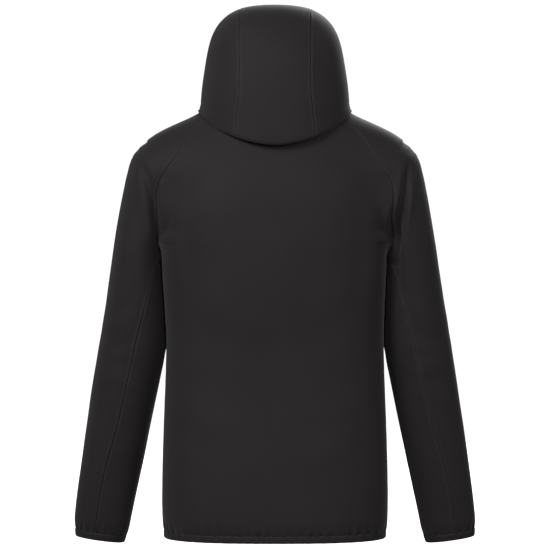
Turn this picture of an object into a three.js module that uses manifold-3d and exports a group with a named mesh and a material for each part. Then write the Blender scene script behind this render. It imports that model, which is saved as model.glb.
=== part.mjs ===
import * as THREE from 'three';
import Module from 'manifold-3d';
import { mergeVertices } from 'three/addons/utils/BufferGeometryUtils.js';

// A hooded softshell jacket, zipped up and filled out as it hangs on a standing figure, hood up.
// Millimetres. +X is the wearer's right, +Y the wearer's front, +Z up. The origin lies between the
// shoulders at the height where the neck seam crosses them.

// Cloth and seams
const CLOTH = 1.8;
const SEAM_GAP = 0.3;
const NECK_LAP = 0.35;

// Body, from the hem's lower edge to above the neck seam. Half is the half width, back and front
// are how far the section reaches behind and ahead of the middle plane.
const TORSO = [
  { z: -760, half: 186, back: 117, front: 119 },
  { z: -719, half: 190, back: 121, front: 123 },
  { z: -700, half: 195, back: 126, front: 129 },
  { z: -670, half: 197, back: 128, front: 131 },
  { z: -600, half: 196.5, back: 127, front: 131 },
  { z: -520, half: 194, back: 123, front: 129 },
  { z: -440, half: 191, back: 121, front: 128 },
  { z: -360, half: 189, back: 125, front: 130 },
  { z: -280, half: 188, back: 133, front: 132 },
  { z: -232, half: 189, back: 136.5, front: 132 },
  { z: -200, half: 192.5, back: 138, front: 131 },
  { z: -140, half: 199, back: 137, front: 126 },
  { z: -90, half: 184, back: 130, front: 117 },
  { z: -50, half: 158, back: 119, front: 107 },
  { z: -10, half: 122, back: 106, front: 97 },
  { z: 30, half: 99, back: 96, front: 88 },
  { z: 80, half: 92, back: 90, front: 82 },
];
const TORSO_ROUNDNESS = 2.6;

// Sleeve, from the neck to the cuff's lower edge: the outer outline seen from behind, then the
// sleeve's width square to that outline, its depth, and how far forward its middle lies.
const SLEEVE = [
  { x: 40, z: 50, wide: 100, deep: 120, fore: -6 },
  { x: 104, z: 28, wide: 108, deep: 126, fore: -6 },
  { x: 149, z: 12, wide: 121, deep: 134, fore: -7 },
  { x: 187, z: -5, wide: 130, deep: 142, fore: -8 },
  { x: 218, z: -23, wide: 132, deep: 148, fore: -8 },
  { x: 237.5, z: -40.5, wide: 130, deep: 151, fore: -7 },
  { x: 250.5, z: -59, wide: 126, deep: 153, fore: -6 },
  { x: 258.5, z: -84, wide: 121, deep: 154, fore: -5 },
  { x: 264.5, z: -112, wide: 114, deep: 154, fore: -4 },
  { x: 271, z: -147, wide: 105, deep: 153, fore: -2 },
  { x: 277, z: -182, wide: 98, deep: 152, fore: 0 },
  { x: 282.5, z: -217, wide: 98, deep: 150, fore: 2 },
  { x: 290.5, z: -268, wide: 106, deep: 147, fore: 8 },
  { x: 298.5, z: -320, wide: 113, deep: 142, fore: 14 },
  { x: 307.5, z: -373, wide: 117.5, deep: 135, fore: 19 },
  { x: 316.5, z: -425, wide: 116.5, deep: 127, fore: 24 },
  { x: 325, z: -478, wide: 113.5, deep: 119, fore: 29 },
  { x: 333, z: -530, wide: 110.5, deep: 110, fore: 34 },
  { x: 341, z: -585, wide: 107, deep: 101, fore: 40 },
  { x: 348.5, z: -638, wide: 103, deep: 92, fore: 46 },
  { x: 353.6, z: -676, wide: 100, deep: 85, fore: 51 },
  { x: 355.5, z: -700, wide: 97, deep: 79, fore: 53 },
  { x: 353.8, z: -714, wide: 89, deep: 71, fore: 55 },
  { x: 352, z: -724, wide: 82, deep: 66, fore: 56 },
  { x: 349, z: -742, wide: 79, deep: 64, fore: 58 },
];
const SLEEVE_ROUNDNESS = 2.15;
const SLEEVE_CLEAR = 1.8;
const SLEEVE_PRESS = 4;

// How softly body and sleeve run into each other, by height
const ARMHOLE_BLEND = [
  { z: -260, soft: 1 },
  { z: -232, soft: 2 },
  { z: -212, soft: 8 },
  { z: -170, soft: 15 },
  { z: -110, soft: 30 },
  { z: -60, soft: 46 },
  { z: 40, soft: 50 },
];

// Raglan seams seen from behind and from the front, from the neck seam down to the underarm point
const RAGLAN_BACK = [
  { x: 124, z: 1 }, { x: 144, z: -17 }, { x: 160, z: -41 }, { x: 173, z: -62 }, { x: 188, z: -85 },
  { x: 201, z: -107 }, { x: 203, z: -135 }, { x: 200, z: -170 }, { x: 194, z: -210 },
];
const RAGLAN_FRONT = [
  { x: 112, z: -14 }, { x: 136, z: -42 }, { x: 156, z: -70 }, { x: 174, z: -100 }, { x: 187, z: -130 },
  { x: 196, z: -165 }, { x: 193, z: -210 },
];
const UNDERARM_X = 189.3;
const SLEEVE_PART_Z = -150;

// Sleeve seam seen from behind, from the underarm to the cuff, and the run over which it leaves the underarm
const SLEEVE_SEAM = [
  { z: -760, x: 327 }, { z: -705, x: 317 }, { z: -612, x: 301 }, { z: -521, x: 276 },
  { z: -439, x: 258 }, { z: -359, x: 240 }, { z: -271, x: 212 }, { z: -232, x: 199 },
];
const SEAM_DRIFT = 80;

// How far the cloth sinks into the fold along the raglan seam, between shares of its length
const FOLD_AT_SEAM = { deep: 6, begins: 0.25, full: 0.6, eases: 0.85 };

// Neck seam: its heights at the zip, the shoulders and the nape, and where the raglan seams meet it
const NECK_FRONT_Z = -62;
const NECK_SIDE_Z = 26;
const NECK_BACK_Z = -33;
const RAGLAN_FRONT_TURN = 62;
const RAGLAN_BACK_TURN = 122;

// Hood: half width, reach behind and ahead, height of its widest part, and rise of its crown
const HOOD_HALF = 131;
const HOOD_BACK = 136;
const HOOD_FRONT = 101;
const HOOD_WIDEST_Z = 20;
const HOOD_RISE = 188;
const HOOD_CROWN_POWER = 3;
const HOOD_ROUNDNESS = 2.3;
const HOOD_TEMPLE = { z: 112, reach: 55, share: 0.04 };
const HOOD_CORE = new THREE.Vector3(0, -8, 70);
const HOOD_PANEL_HALF = 61;
const HOOD_CHIN_FLARE = 10;

// Opening round the face, from beside the zip up to the seam of the crown panel
const FACE_EDGE = [
  { x: 4.8, z: 4 }, { x: 30, z: 7 }, { x: 58, z: 20 }, { x: 76, z: 44 }, { x: 85, z: 75 },
  { x: 87, z: 110 }, { x: 83, z: 143 }, { x: 74, z: 168 }, { x: 61, z: 184 },
];

// Elastic binding on hem, cuffs and face edge: its section, across the edge and out from the cloth
const BINDING_DROP = 10;
const BINDING_SECTION = [
  { drop: 0.3, out: 1.2 }, { drop: 8.6, out: 1.3 }, { drop: 10, out: 0.4 },
  { drop: 10, out: -0.9 }, { drop: 8.6, out: -1.7 }, { drop: 0.3, out: -1.7 },
];
const HEM_Z = -719;

// Zip: half the gap between the fronts, the section of one half, and how it opens above the slider
const ZIP_HALF_GAP = 4.5;
const ZIP_SECTION = [
  { x: 0.15, deep: 0.4 }, { x: 3.1, deep: 0.4 }, { x: 3.1, deep: 2.8 },
  { x: 12, deep: 2.8 }, { x: 12, deep: 3.6 }, { x: 0.15, deep: 3.6 },
];
const ZIP_TOP_Z = 13;
const ZIP_SPREAD = { from: -1, to: 2, x: 1.6 };
const ZIP_RINGS = 36;

// Slider and pull tab, in the slider's own frame: y out from the cloth's face, z along the zip
const SLIDER = { z: 2, half: 4.3, tall: 12, front: { from: 0.1, to: 1.6 }, back: { from: -5.5, to: -4 } };
const POST = { half: 1.1, low: 1.5, high: 5.5 };
const BRIDGE = { half: 1.1, tall: 8, leg: 1.1, gap: 2.1, bar: 1.3 };
const TAB = { half: 3.6, thick: 1.3, above: 0.5, below: 24, eye: 1.6, eyeTop: 0.5, eyeEnd: 6.8, pivotZ: 1.5 };

// Columns and rows of the cloth panels
const BACK_COLUMNS = 20;
const FRONT_COLUMNS = 10;
const SLEEVE_COLUMNS = 18;
const CHEST_ROWS = 9;
const BODY_ROWS = 10;
const ARM_ROWS = 13;
const CROWN_COLUMNS = 8;
const HOOD_ROWS = 12;
const HOOD_COLUMNS = 12;
const CHIN_ROWS = 3;

// Gathers that the elastic pulls in above hem and cuffs: crest to crest is two columns
const HEM_BINDING_COLUMNS = 60;
const CUFF_BINDING_COLUMNS = 24;
const GATHER = { rise: 26, rows: 2, deep: 1.6, start: 24 };
const HEM_GATHER_SPLIT = 3;
const CUFF_GATHER_SPLIT = 2;

const CHARCOAL = new THREE.Color(0x2f2b2d);
const BLACK = new THREE.Color(0x1d1b1c);
const GUNMETAL = new THREE.Color(0x3a3a3c);

const { abs, cos, hypot, max, min, PI, pow, sin, atan2 } = Math;
const vec = (x, y, z) => new THREE.Vector3(x, y, z);
const mix = (a, b, t) => a + (b - a) * t;
const { clamp, smoothstep, degToRad: radians } = THREE.MathUtils;

// Every column of a table at one value of its key column, on a smooth curve through its rows.
function across(table, key, at) {
  const rows = table[0][key] > table[table.length - 1][key] ? [...table].reverse() : table;
  const last = rows.length - 1;
  let i = 0;
  while (i < last - 1 && rows[i + 1][key] < at) i++;
  const [a, b] = [rows[i], rows[i + 1]];
  const [before, after] = [rows[max(i - 1, 0)], rows[min(i + 2, last)]];
  const span = b[key] - a[key];
  const t = clamp((at - a[key]) / span, 0, 1);
  const out = {};
  for (const name of Object.keys(a)) {
    const leave = ((b[name] - before[name]) / (b[key] - before[key])) * span;
    const arrive = ((after[name] - a[name]) / (after[key] - a[key])) * span;
    out[name] = (2 * t ** 3 - 3 * t ** 2 + 1) * a[name] + (t ** 3 - 2 * t ** 2 + t) * leave
      + (3 * t ** 2 - 2 * t ** 3) * b[name] + (t ** 3 - t ** 2) * arrive;
  }
  return out;
}

// A curve's table with a column of the length run so far.
function withRun(table) {
  let run = 0;
  return table.map((row, i) => {
    if (i) run += hypot(row.x - table[i - 1].x, row.z - table[i - 1].z);
    return { ...row, run };
  });
}

// The part of a form at which a section's rule reaches 1: below 1 is inside.
const section = (x, y, halfX, halfY, power) =>
  pow(pow(abs(x) / halfX, power) + pow(abs(y) / halfY, power), 1 / power);

function torsoForm(p) {
  const at = across(TORSO, 'z', clamp(p.z, -760, 80));
  const reach = p.y < 0 ? at.back : at.front;
  return (section(p.x, p.y, at.half, reach, TORSO_ROUNDNESS) - 1) * reach;
}

// The sleeve's middle line, worked out inwards from its outline.
const SLEEVE_RUN = withRun(SLEEVE);
const SLEEVE_LENGTH = SLEEVE_RUN[SLEEVE_RUN.length - 1].run;
const AXIS_STEPS = 220;

function sleeveStation(run) {
  const at = across(SLEEVE_RUN, 'run', run);
  const way = min(run, SLEEVE_RUN.at(-6).run);
  const near = across(SLEEVE_RUN, 'run', way + 1);
  const far = across(SLEEVE_RUN, 'run', way - 1);
  const along = vec(near.x - far.x, 0, near.z - far.z).normalize();
  const out = vec(-along.z, 0, along.x);
  const outline = vec(at.x, at.fore, at.z);
  const core = outline.clone().addScaledVector(out, -at.wide / 2);
  return { ...at, along, out, outline, core };
}

const SLEEVE_AXIS = Array.from({ length: AXIS_STEPS + 1 }, (_, i) =>
  sleeveStation(mix(2, SLEEVE_LENGTH - 2, i / AXIS_STEPS)));

// The sleeve station whose cross plane holds a point.
function nearestStation(p) {
  const x = abs(p.x);
  let best = 0;
  let least = Infinity;
  SLEEVE_AXIS.forEach(({ core }, i) => {
    const d = (core.x - x) ** 2 + (core.z - p.z) ** 2;
    if (d < least) [least, best] = [d, i];
  });
  const a = SLEEVE_AXIS[clamp(best - 1, 0, AXIS_STEPS)];
  const b = SLEEVE_AXIS[clamp(best + 1, 0, AXIS_STEPS)];
  const dx = b.core.x - a.core.x;
  const dz = b.core.z - a.core.z;
  const t = clamp(((x - a.core.x) * dx + (p.z - a.core.z) * dz) / (dx * dx + dz * dz), 0, 1);
  return { a, b, t };
}

function sleeveForm(p) {
  const { a, b, t } = nearestStation(p);
  const x = abs(p.x) - mix(a.core.x, b.core.x, t);
  const z = p.z - mix(a.core.z, b.core.z, t);
  const away = hypot(x, z);
  const half = mix(a.wide, b.wide, t) / 2;
  const reach = mix(a.deep, b.deep, t) / 2;
  return (section(away, p.y - mix(a.fore, b.fore, t), half, reach, SLEEVE_ROUNDNESS) - 1) * half;
}

// The sleeve, pressed in where it would touch the body.
function armForm(p) {
  const sleeve = sleeveForm(p);
  const pressed = SLEEVE_CLEAR - torsoForm(p);
  const near = max(SLEEVE_PRESS - abs(sleeve - pressed), 0) / SLEEVE_PRESS;
  return max(sleeve, pressed) + (near * near * SLEEVE_PRESS) / 4;
}

// Body and sleeves as one smooth form above the underarm.
function bodyForm(p) {
  const torso = torsoForm(p);
  const sleeve = armForm(p);
  const { soft } = across(ARMHOLE_BLEND, 'z', clamp(p.z, -260, 40));
  const near = max(soft - abs(torso - sleeve), 0) / soft;
  return min(torso, sleeve) - (near * near * soft) / 4;
}

function hoodForm(p) {
  const up = max(p.z - HOOD_WIDEST_Z, 0) / HOOD_RISE;
  const temple = (p.z - HOOD_TEMPLE.z) / HOOD_TEMPLE.reach;
  const half = HOOD_HALF * (1 - HOOD_TEMPLE.share * Math.exp(-temple * temple));
  const low = (HOOD_WIDEST_Z - p.z) / (HOOD_WIDEST_Z - NECK_FRONT_Z);
  const chin = HOOD_FRONT + HOOD_CHIN_FLARE * clamp(low, 0, 1);
  const ring = section(p.x, p.y, half, p.y < 0 ? HOOD_BACK : chin, HOOD_ROUNDNESS);
  return (pow(pow(ring, HOOD_CROWN_POWER) + pow(up, HOOD_CROWN_POWER), 1 / HOOD_CROWN_POWER) - 1) * HOOD_FRONT;
}

// The outward direction of a form at a point.
function facing(form, p) {
  const step = 0.4;
  const slope = (dx, dy, dz) =>
    form(vec(p.x + dx, p.y + dy, p.z + dz)) - form(vec(p.x - dx, p.y - dy, p.z - dz));
  return vec(slope(step, 0, 0), slope(0, step, 0), slope(0, 0, step)).normalize();
}

// Where a ray from inside a form first leaves it.
function exit(form, from, direction) {
  const way = direction.clone().normalize();
  const at = (d) => from.clone().addScaledVector(way, d);
  const stride = 6;
  let outside = stride;
  while (form(at(outside)) < 0 && outside < 600) outside += stride;
  let inside = outside - stride;
  for (let i = 0; i < 24; i++) {
    const middle = (inside + outside) / 2;
    if (form(at(middle)) < 0) inside = middle;
    else outside = middle;
  }
  return at(outside);
}

const onForm = (form, p) => ({ p, n: facing(form, p) });

// A fine path of points, thinned to an even number of columns between its ends.
function evenly(path, columns, shareOf = (t) => t) {
  const run = [0];
  for (let i = 1; i < path.length; i++) run.push(run[i - 1] + path[i].distanceTo(path[i - 1]));
  const whole = run[run.length - 1];
  let i = 0;
  return Array.from({ length: columns + 1 }, (_, c) => {
    if (c === columns) return path[path.length - 1].clone();
    const target = whole * shareOf(c / columns);
    while (run[i + 1] < target) i++;
    return path[i].clone().lerp(path[i + 1], (target - run[i]) / (run[i + 1] - run[i]));
  });
}

// The underarm point: where body and sleeve part.
function underarm() {
  let [below, above] = [-300, -150];
  for (let i = 0; i < 30; i++) {
    const middle = (below + above) / 2;
    if (bodyForm(vec(UNDERARM_X, 0, middle)) < 0) above = middle;
    else below = middle;
  }
  return { p: vec(UNDERARM_X, 0, above), n: vec(0, 0, -1) };
}
const UNDERARM = underarm();

// Neck seam, by the turn in degrees from the zip round to the nape.
function neckPoint(turn) {
  const angle = radians(turn);
  const low = abs(turn) < 90 ? NECK_FRONT_Z : NECK_BACK_Z;
  const z = mix(NECK_SIDE_Z, low, cos(angle) ** 2);
  return exit(bodyForm, vec(0, 0, z), vec(sin(angle), cos(angle), 0));
}
const ZIP_TURN = (Math.asin(ZIP_HALF_GAP / 97) * 180) / PI;
const neckRow = (from, to, columns) =>
  Array.from({ length: columns + 1 }, (_, i) => onForm(bodyForm, neckPoint(mix(from, to, i / columns))));

// Raglan seam nodes from the neck seam to the underarm, on the side that faces back (-1) or front (1).
function raglanNodes(table, turn, side) {
  const neck = neckPoint(turn);
  const seen = withRun([{ x: neck.x, z: neck.z }, ...table]);
  const steps = 120;
  const fine = Array.from({ length: steps + 1 }, (_, i) => {
    const at = across(seen, 'run', (seen.at(-1).run * i) / steps);
    return i ? exit(bodyForm, vec(at.x, 0, at.z), vec(0, side, 0)) : neck;
  });
  const low = onForm(bodyForm, fine.at(-1));
  return evenly([...fine, UNDERARM.p], CHEST_ROWS).map((p, j) => {
    const share = clamp((low.p.z - p.z) / (low.p.z - UNDERARM.p.z), 0, 1);
    const node = share ? { p, n: low.n.clone().lerp(UNDERARM.n, share).normalize() } : onForm(bodyForm, p);
    const { deep, begins, full, eases } = FOLD_AT_SEAM;
    const sunk = deep * smoothstep(j / CHEST_ROWS, begins, full) * (1 - smoothstep(j / CHEST_ROWS, eases, 1));
    return { p: node.p.clone().addScaledVector(node.n, -sunk), n: node.n };
  });
}

const raglanBack = raglanNodes(RAGLAN_BACK, RAGLAN_BACK_TURN, -1);
const raglanFront = raglanNodes(RAGLAN_FRONT, RAGLAN_FRONT_TURN, 1);

// Heights of the body's rows from the underarm down to the binding, closer together near the hem.
const BODY_BOTTOM = HEM_Z + BINDING_DROP;
const bodyHeights = Array.from({ length: BODY_ROWS + 1 }, (_, i) =>
  mix(UNDERARM.p.z, BODY_BOTTOM + GATHER.rise, i / BODY_ROWS));
const sideNodes = bodyHeights.map((z, i) =>
  i === 0 ? raglanBack[CHEST_ROWS] : onForm(torsoForm, exit(torsoForm, vec(0, 0, z), vec(1, 0, 0))));

const turnOf = (p) => atan2(p.x, p.y);
const mirrored = ({ p, n }) => ({ p: vec(-p.x, p.y, p.z), n: vec(-n.x, n.y, n.z) });

// A row of the chest or back above the underarm, cast straight forward or back from the middle plane.
function chestRow(from, to, side, dip, columns) {
  const fine = [];
  const steps = 160;
  for (let i = 1; i < steps; i++) {
    const t = i / steps;
    const eased = from.p.x * to.p.x < 0 ? (1 - cos(PI * t)) / 2 : sin((PI / 2) * t);
    const z = mix(from.p.z, to.p.z, t) + dip * 4 * t * (1 - t);
    fine.push(exit(bodyForm, vec(mix(from.p.x, to.p.x, eased), 0, z), vec(0, side, 0)));
  }
  return between(bodyForm, from, fine, to, columns);
}

// A row round the body at one height.
function waistRow(from, to, fromTurn, toTurn, columns) {
  const fine = [];
  const steps = 120;
  for (let i = 1; i < steps; i++) {
    const turn = mix(fromTurn, toTurn, i / steps);
    const z = mix(from.p.z, to.p.z, i / steps);
    fine.push(exit(torsoForm, vec(0, 0, z), vec(sin(turn), cos(turn), 0)));
  }
  return between(torsoForm, from, fine, to, columns);
}

// Even nodes on a form along a fine path, with two given nodes as its ends.
function between(form, from, fine, to, columns, shareOf) {
  const row = evenly([from.p, ...fine, to.p], columns, shareOf).map((p) => onForm(form, p));
  row[0] = from;
  row[columns] = to;
  return row;
}

// Gathered rows under a plain one: every second point of a finer row is pushed in, more towards the edge.
function gatheredRows(plainRow, bottomRow, split) {
  const columns = (plainRow.length - 1) * split;
  return Array.from({ length: GATHER.rows }, (_, r) => {
    const t = (r + 1) / GATHER.rows;
    return Array.from({ length: columns + 1 }, (_, c) => {
      const [i, part] = [Math.floor(c / split), (c % split) / split];
      const top = pointOn(plainRow, i, part);
      const low = bottomRow[c];
      const p = top.p.clone().lerp(low.p, t);
      const n = top.n.clone().lerp(low.n, t).normalize();
      const edge = c === 0 || c === columns || (p.y > 0 && abs(p.x) < GATHER.start);
      const depth = edge ? 0 : (c % 2 ? -1 : 0.35) * GATHER.deep * t * (0.75 + 0.25 * sin(c * 2.4));
      return { p: p.addScaledVector(n, depth), n };
    });
  });
}

function pointOn(row, i, part) {
  if (part === 0) return row[i];
  const [a, b] = [row[i], row[i + 1]];
  return { p: a.p.clone().lerp(b.p, part), n: a.n.clone().lerp(b.n, part).normalize() };
}

// Rows of a body panel from the neck seam to the last plain row above the hem.
function bodyRows(edgeA, edgeB, side, midHeights, topRow, columns) {
  return edgeA.map((from, i) => {
    const to = edgeB[i];
    if (i === 0) return topRow;
    if (i < CHEST_ROWS) return chestRow(from, to, side, midHeights(i) - (from.p.z + to.p.z) / 2, columns);
    const turns = [turnOf(from.p), turnOf(to.p)];
    if (turns[1] < 0) turns[1] += 2 * PI;
    return waistRow(from, to, ...turns, columns);
  });
}

// Moves the ends of a row, or a whole row towards its neighbour, by half the seam gap.
function openSeams(rows, { sides = true, top = true, bottom = true } = {}) {
  const half = SEAM_GAP / 2;
  const nudge = (node, towards) => {
    const way = towards.p.clone().sub(node.p);
    return { p: node.p.clone().addScaledVector(way.normalize(), half), n: node.n };
  };
  const out = rows.map((row) => {
    if (!sides) return [...row];
    const last = row.length - 1;
    return [nudge(row[0], row[1]), ...row.slice(1, last), nudge(row[last], row[last - 1])];
  });
  const shift = (row, next) => row.map((node, i) => {
    const at = (i * (next.length - 1)) / (row.length - 1);
    const j = min(Math.floor(at), next.length - 2);
    return nudge(node, pointOn(next, j, at - j));
  });
  if (top) out[0] = shift(out[0], out[1]);
  const last = out.length - 1;
  if (bottom) out[last] = shift(out[last], out[last - 1]);
  return out;
}

// Triangles between two rows of any two lengths, both running the same way, alike in both halves.
function zipRows(a, b, put) {
  let [i, j] = [0, 0];
  while (i < a.length - 1 || j < b.length - 1) {
    const nextA = (i + 1) / (a.length - 1);
    const nextB = (j + 1) / (b.length - 1);
    const even = nextA < 0.5 + 1e-9 ? 1e-9 : -1e-9;
    if (j === b.length - 1 || (i < a.length - 1 && nextA <= nextB + even)) {
      put(a[i], b[j], a[i + 1]);
      i++;
    } else {
      put(a[i], b[j], b[j + 1]);
      j++;
    }
  }
}

// A closed wall of cloth through rows of nodes: outer skin, inner skin, and the edges between.
function wallOf(rows, thick = CLOTH) {
  const positions = [];
  const add = (p) => positions.push(p.x, p.y, p.z) / 3 - 1;
  const outer = rows.map((row) => row.map(({ p }) => add(p)));
  const inner = rows.map((row) => row.map(({ p, n }) => add(p.clone().addScaledVector(n, -thick))));
  const faces = [];
  const put = (a, b, c) => faces.push(a, b, c);
  const putBack = (a, b, c) => faces.push(a, c, b);
  for (let r = 0; r < rows.length - 1; r++) {
    zipRows(outer[r], outer[r + 1], put);
    zipRows(inner[r], inner[r + 1], putBack);
  }
  const last = rows.length - 1;
  zipRows(inner[0], outer[0], put);
  zipRows(outer[last], inner[last], put);
  const [leftOut, leftIn] = [outer.map((row) => row[0]), inner.map((row) => row[0])];
  const [rightOut, rightIn] = [outer.map((row) => row.at(-1)), inner.map((row) => row.at(-1))];
  zipRows(leftOut, leftIn, put);
  zipRows(rightOut, rightIn, putBack);
  return closed(positions, faces);
}

// A tape of square section along rings of corner points; the tape runs open from end to end.
function tapeOf(rings) {
  const positions = [];
  const loops = rings.map((ring) => ring.map((p) => positions.push(p.x, p.y, p.z) / 3 - 1));
  const faces = [];
  const count = loops[0].length;
  for (let r = 0; r < loops.length - 1; r++) {
    const [here, next] = [loops[r], loops[r + 1]];
    for (let c = 0; c < count; c++) {
      const d = (c + 1) % count;
      if (2 * r < loops.length - 1) faces.push(here[c], next[c], here[d], here[d], next[c], next[d]);
      else faces.push(here[c], next[c], next[d], here[c], next[d], here[d]);
    }
  }
  for (let c = 1; c < count - 1; c++) {
    faces.push(loops[0][0], loops[0][c], loops[0][c + 1]);
    faces.push(loops.at(-1)[0], loops.at(-1)[c + 1], loops.at(-1)[c]);
  }
  return closed(positions, faces);
}

// A ring of square section: like a tape, with its ends joined.
function ringOf(rings) {
  const positions = [];
  const loops = rings.map((ring) => ring.map((p) => positions.push(p.x, p.y, p.z) / 3 - 1));
  const faces = [];
  loops.forEach((loop, r) => {
    const next = loops[(r + 1) % loops.length];
    loop.forEach((corner, c) => {
      const d = (c + 1) % loop.length;
      faces.push(corner, next[c], loop[d]);
      faces.push(loop[d], next[c], next[d]);
    });
  });
  return closed(positions, faces);
}

// An indexed geometry whose faces point out.
function closed(positions, faces) {
  let volume = 0;
  const at = (i) => vec(positions[3 * i], positions[3 * i + 1], positions[3 * i + 2]);
  for (let f = 0; f < faces.length; f += 3) {
    volume += at(faces[f]).dot(at(faces[f + 1]).cross(at(faces[f + 2])));
  }
  const turned = [];
  for (let f = 0; f < faces.length; f += 3) {
    if (volume < 0) turned.push(faces[f], faces[f + 2], faces[f + 1]);
    else turned.push(faces[f], faces[f + 1], faces[f + 2]);
  }
  const geometry = new THREE.BufferGeometry();
  geometry.setAttribute('position', new THREE.Float32BufferAttribute(positions, 3));
  geometry.setIndex(turned);
  geometry.computeVertexNormals();
  return geometry;
}

const mirrorRows = (rows) => rows.map((row) => row.map(mirrored));

// Body panels
const backEdge = [...raglanBack, ...sideNodes.slice(1)];
const frontEdge = [...raglanFront, ...sideNodes.slice(1)];

function hemRow(fromTurn, toTurn, columns) {
  const end = (turn) => onForm(torsoForm, exit(torsoForm, vec(0, 0, BODY_BOTTOM), vec(sin(turn), cos(turn), 0)));
  return waistRow(end(fromTurn), end(toTurn), fromTurn, toTurn, columns);
}

function backPanel() {
  const left = backEdge.map(mirrored);
  const heights = (i) => mix(NECK_BACK_Z, UNDERARM.p.z, i / CHEST_ROWS);
  const top = neckRow(RAGLAN_BACK_TURN, 360 - RAGLAN_BACK_TURN, BACK_COLUMNS);
  const rows = bodyRows(backEdge, left, -1, heights, top, BACK_COLUMNS);
  const hem = hemRow(PI / 2, (3 * PI) / 2, BACK_COLUMNS * HEM_GATHER_SPLIT);
  return openSeams([...rows, ...gatheredRows(rows.at(-1), hem, HEM_GATHER_SPLIT)]);
}

// The front's edge beside the zip.
const zipEdgeNode = (form, z) => onForm(form, exit(form, vec(ZIP_HALF_GAP, 0, z), vec(0, 1, 0)));

function frontPanel() {
  const zip = frontEdge.map((_, i) => (i < CHEST_ROWS
    ? zipEdgeNode(bodyForm, mix(NECK_FRONT_Z, UNDERARM.p.z, i / CHEST_ROWS))
    : zipEdgeNode(torsoForm, bodyHeights[i - CHEST_ROWS])));
  const top = neckRow(ZIP_TURN, RAGLAN_FRONT_TURN, FRONT_COLUMNS);
  zip[0] = top[0];
  const heights = (i) => (zip[i].p.z + frontEdge[i].p.z) / 2 - 8 * (1 - i / CHEST_ROWS);
  const rows = bodyRows(zip, frontEdge, 1, heights, top, FRONT_COLUMNS);
  const hem = hemRow(turnOf(zipEdgeNode(torsoForm, BODY_BOTTOM).p), PI / 2, FRONT_COLUMNS * HEM_GATHER_SPLIT);
  return openSeams([...rows, ...gatheredRows(rows.at(-1), hem, HEM_GATHER_SPLIT)]);
}

// Sleeves
const ridgeStart = () => {
  const ridge = neckPoint((RAGLAN_BACK_TURN + RAGLAN_FRONT_TURN) / 2);
  return across(SLEEVE_RUN, 'x', ridge.x).run;
};

// The run along the outline whose cross plane passes through a point.
function runThrough(p, low, high) {
  let [a, b] = [low, high];
  for (let i = 0; i < 30; i++) {
    const middle = (a + b) / 2;
    const { core, along } = sleeveStation(middle);
    if (p.clone().sub(core).dot(along) > 0) a = middle;
    else b = middle;
  }
  return (a + b) / 2;
}

const UNDERARM_RUN = runThrough(UNDERARM.p, 200, 460);
const CUFF_RUN = SLEEVE_RUN.at(-2).run - BINDING_DROP;

// A row round the sleeve's middle, from a node on its back outwards, over the outline, to its front.
function sleeveRow(form, station, from, to, columns, shareOf) {
  const middle = vec(station.core.x, station.fore, station.core.z);
  const ahead = vec(0, 1, 0);
  const seen = (p) => {
    const way = p.clone().sub(middle);
    const flat = hypot(way.dot(station.out), way.y);
    return { turn: atan2(way.y, way.dot(station.out)), lean: way.dot(station.along) / flat };
  };
  const [a, b] = [seen(from.p), seen(to.p)];
  if (a.turn > 0) a.turn -= 2 * PI;
  if (b.turn < 0) b.turn += 2 * PI;
  const fine = [];
  const steps = 120;
  for (let i = 1; i < steps; i++) {
    const t = i / steps;
    const turn = mix(a.turn, b.turn, t);
    const lean = (t < 0.5 ? a.lean : b.lean) * (1 - 2 * min(t, 1 - t)) ** 1.5;
    const way = station.out.clone().multiplyScalar(cos(turn)).addScaledVector(ahead, sin(turn));
    fine.push(exit(form, middle, way.addScaledVector(station.along, lean)));
  }
  return between(form, from, fine, to, columns, shareOf);
}

// Where the sleeve seam passes through a station's cross plane: it leaves the underarm gradually.
function sleeveSeam(station) {
  let [low, high] = [-759, -233];
  for (let i = 0; i < 30; i++) {
    const middle = (low + high) / 2;
    const { x } = across(SLEEVE_SEAM, 'z', middle);
    if (vec(x, 0, middle).sub(station.core).dot(station.along) > 0) low = middle;
    else high = middle;
  }
  const { x } = across(SLEEVE_SEAM, 'z', low);
  const middle = vec(station.core.x, station.fore, station.core.z);
  const way = exit(armForm, vec(x, station.fore, low), vec(0, -1, 0)).sub(middle);
  const seen = atan2(way.y, way.dot(station.out));
  const drifted = smoothstep(station.run, UNDERARM_RUN - SEAM_DRIFT / 2, UNDERARM_RUN + SEAM_DRIFT);
  const start = smoothstep(UNDERARM_RUN, UNDERARM_RUN - SEAM_DRIFT / 2, UNDERARM_RUN + SEAM_DRIFT);
  const turn = mix(-PI, seen, (drifted - start) / (1 - start));
  const ahead = vec(0, sin(turn), 0);
  const node = onForm(armForm, exit(armForm, middle, ahead.addScaledVector(station.out, cos(turn))));
  return { node, moved: (turn + PI) / (2 * PI) };
}

// A row round the sleeve from its seam. Where the seam moves round, the columns across from it stay in line.
function armRow(run, columns) {
  const station = sleeveStation(run);
  const { node, moved } = sleeveSeam(station);
  return sleeveRow(armForm, station, node, node, columns, (t) => t - 4 * moved * t * (1 - t));
}

// The sleeve's side of the body form, parted from the body at the underarm's plane.
const sleeveSide = (p) => (p.z < SLEEVE_PART_Z ? max(bodyForm(p), UNDERARM_X - abs(p.x)) : bodyForm(p));

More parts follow.
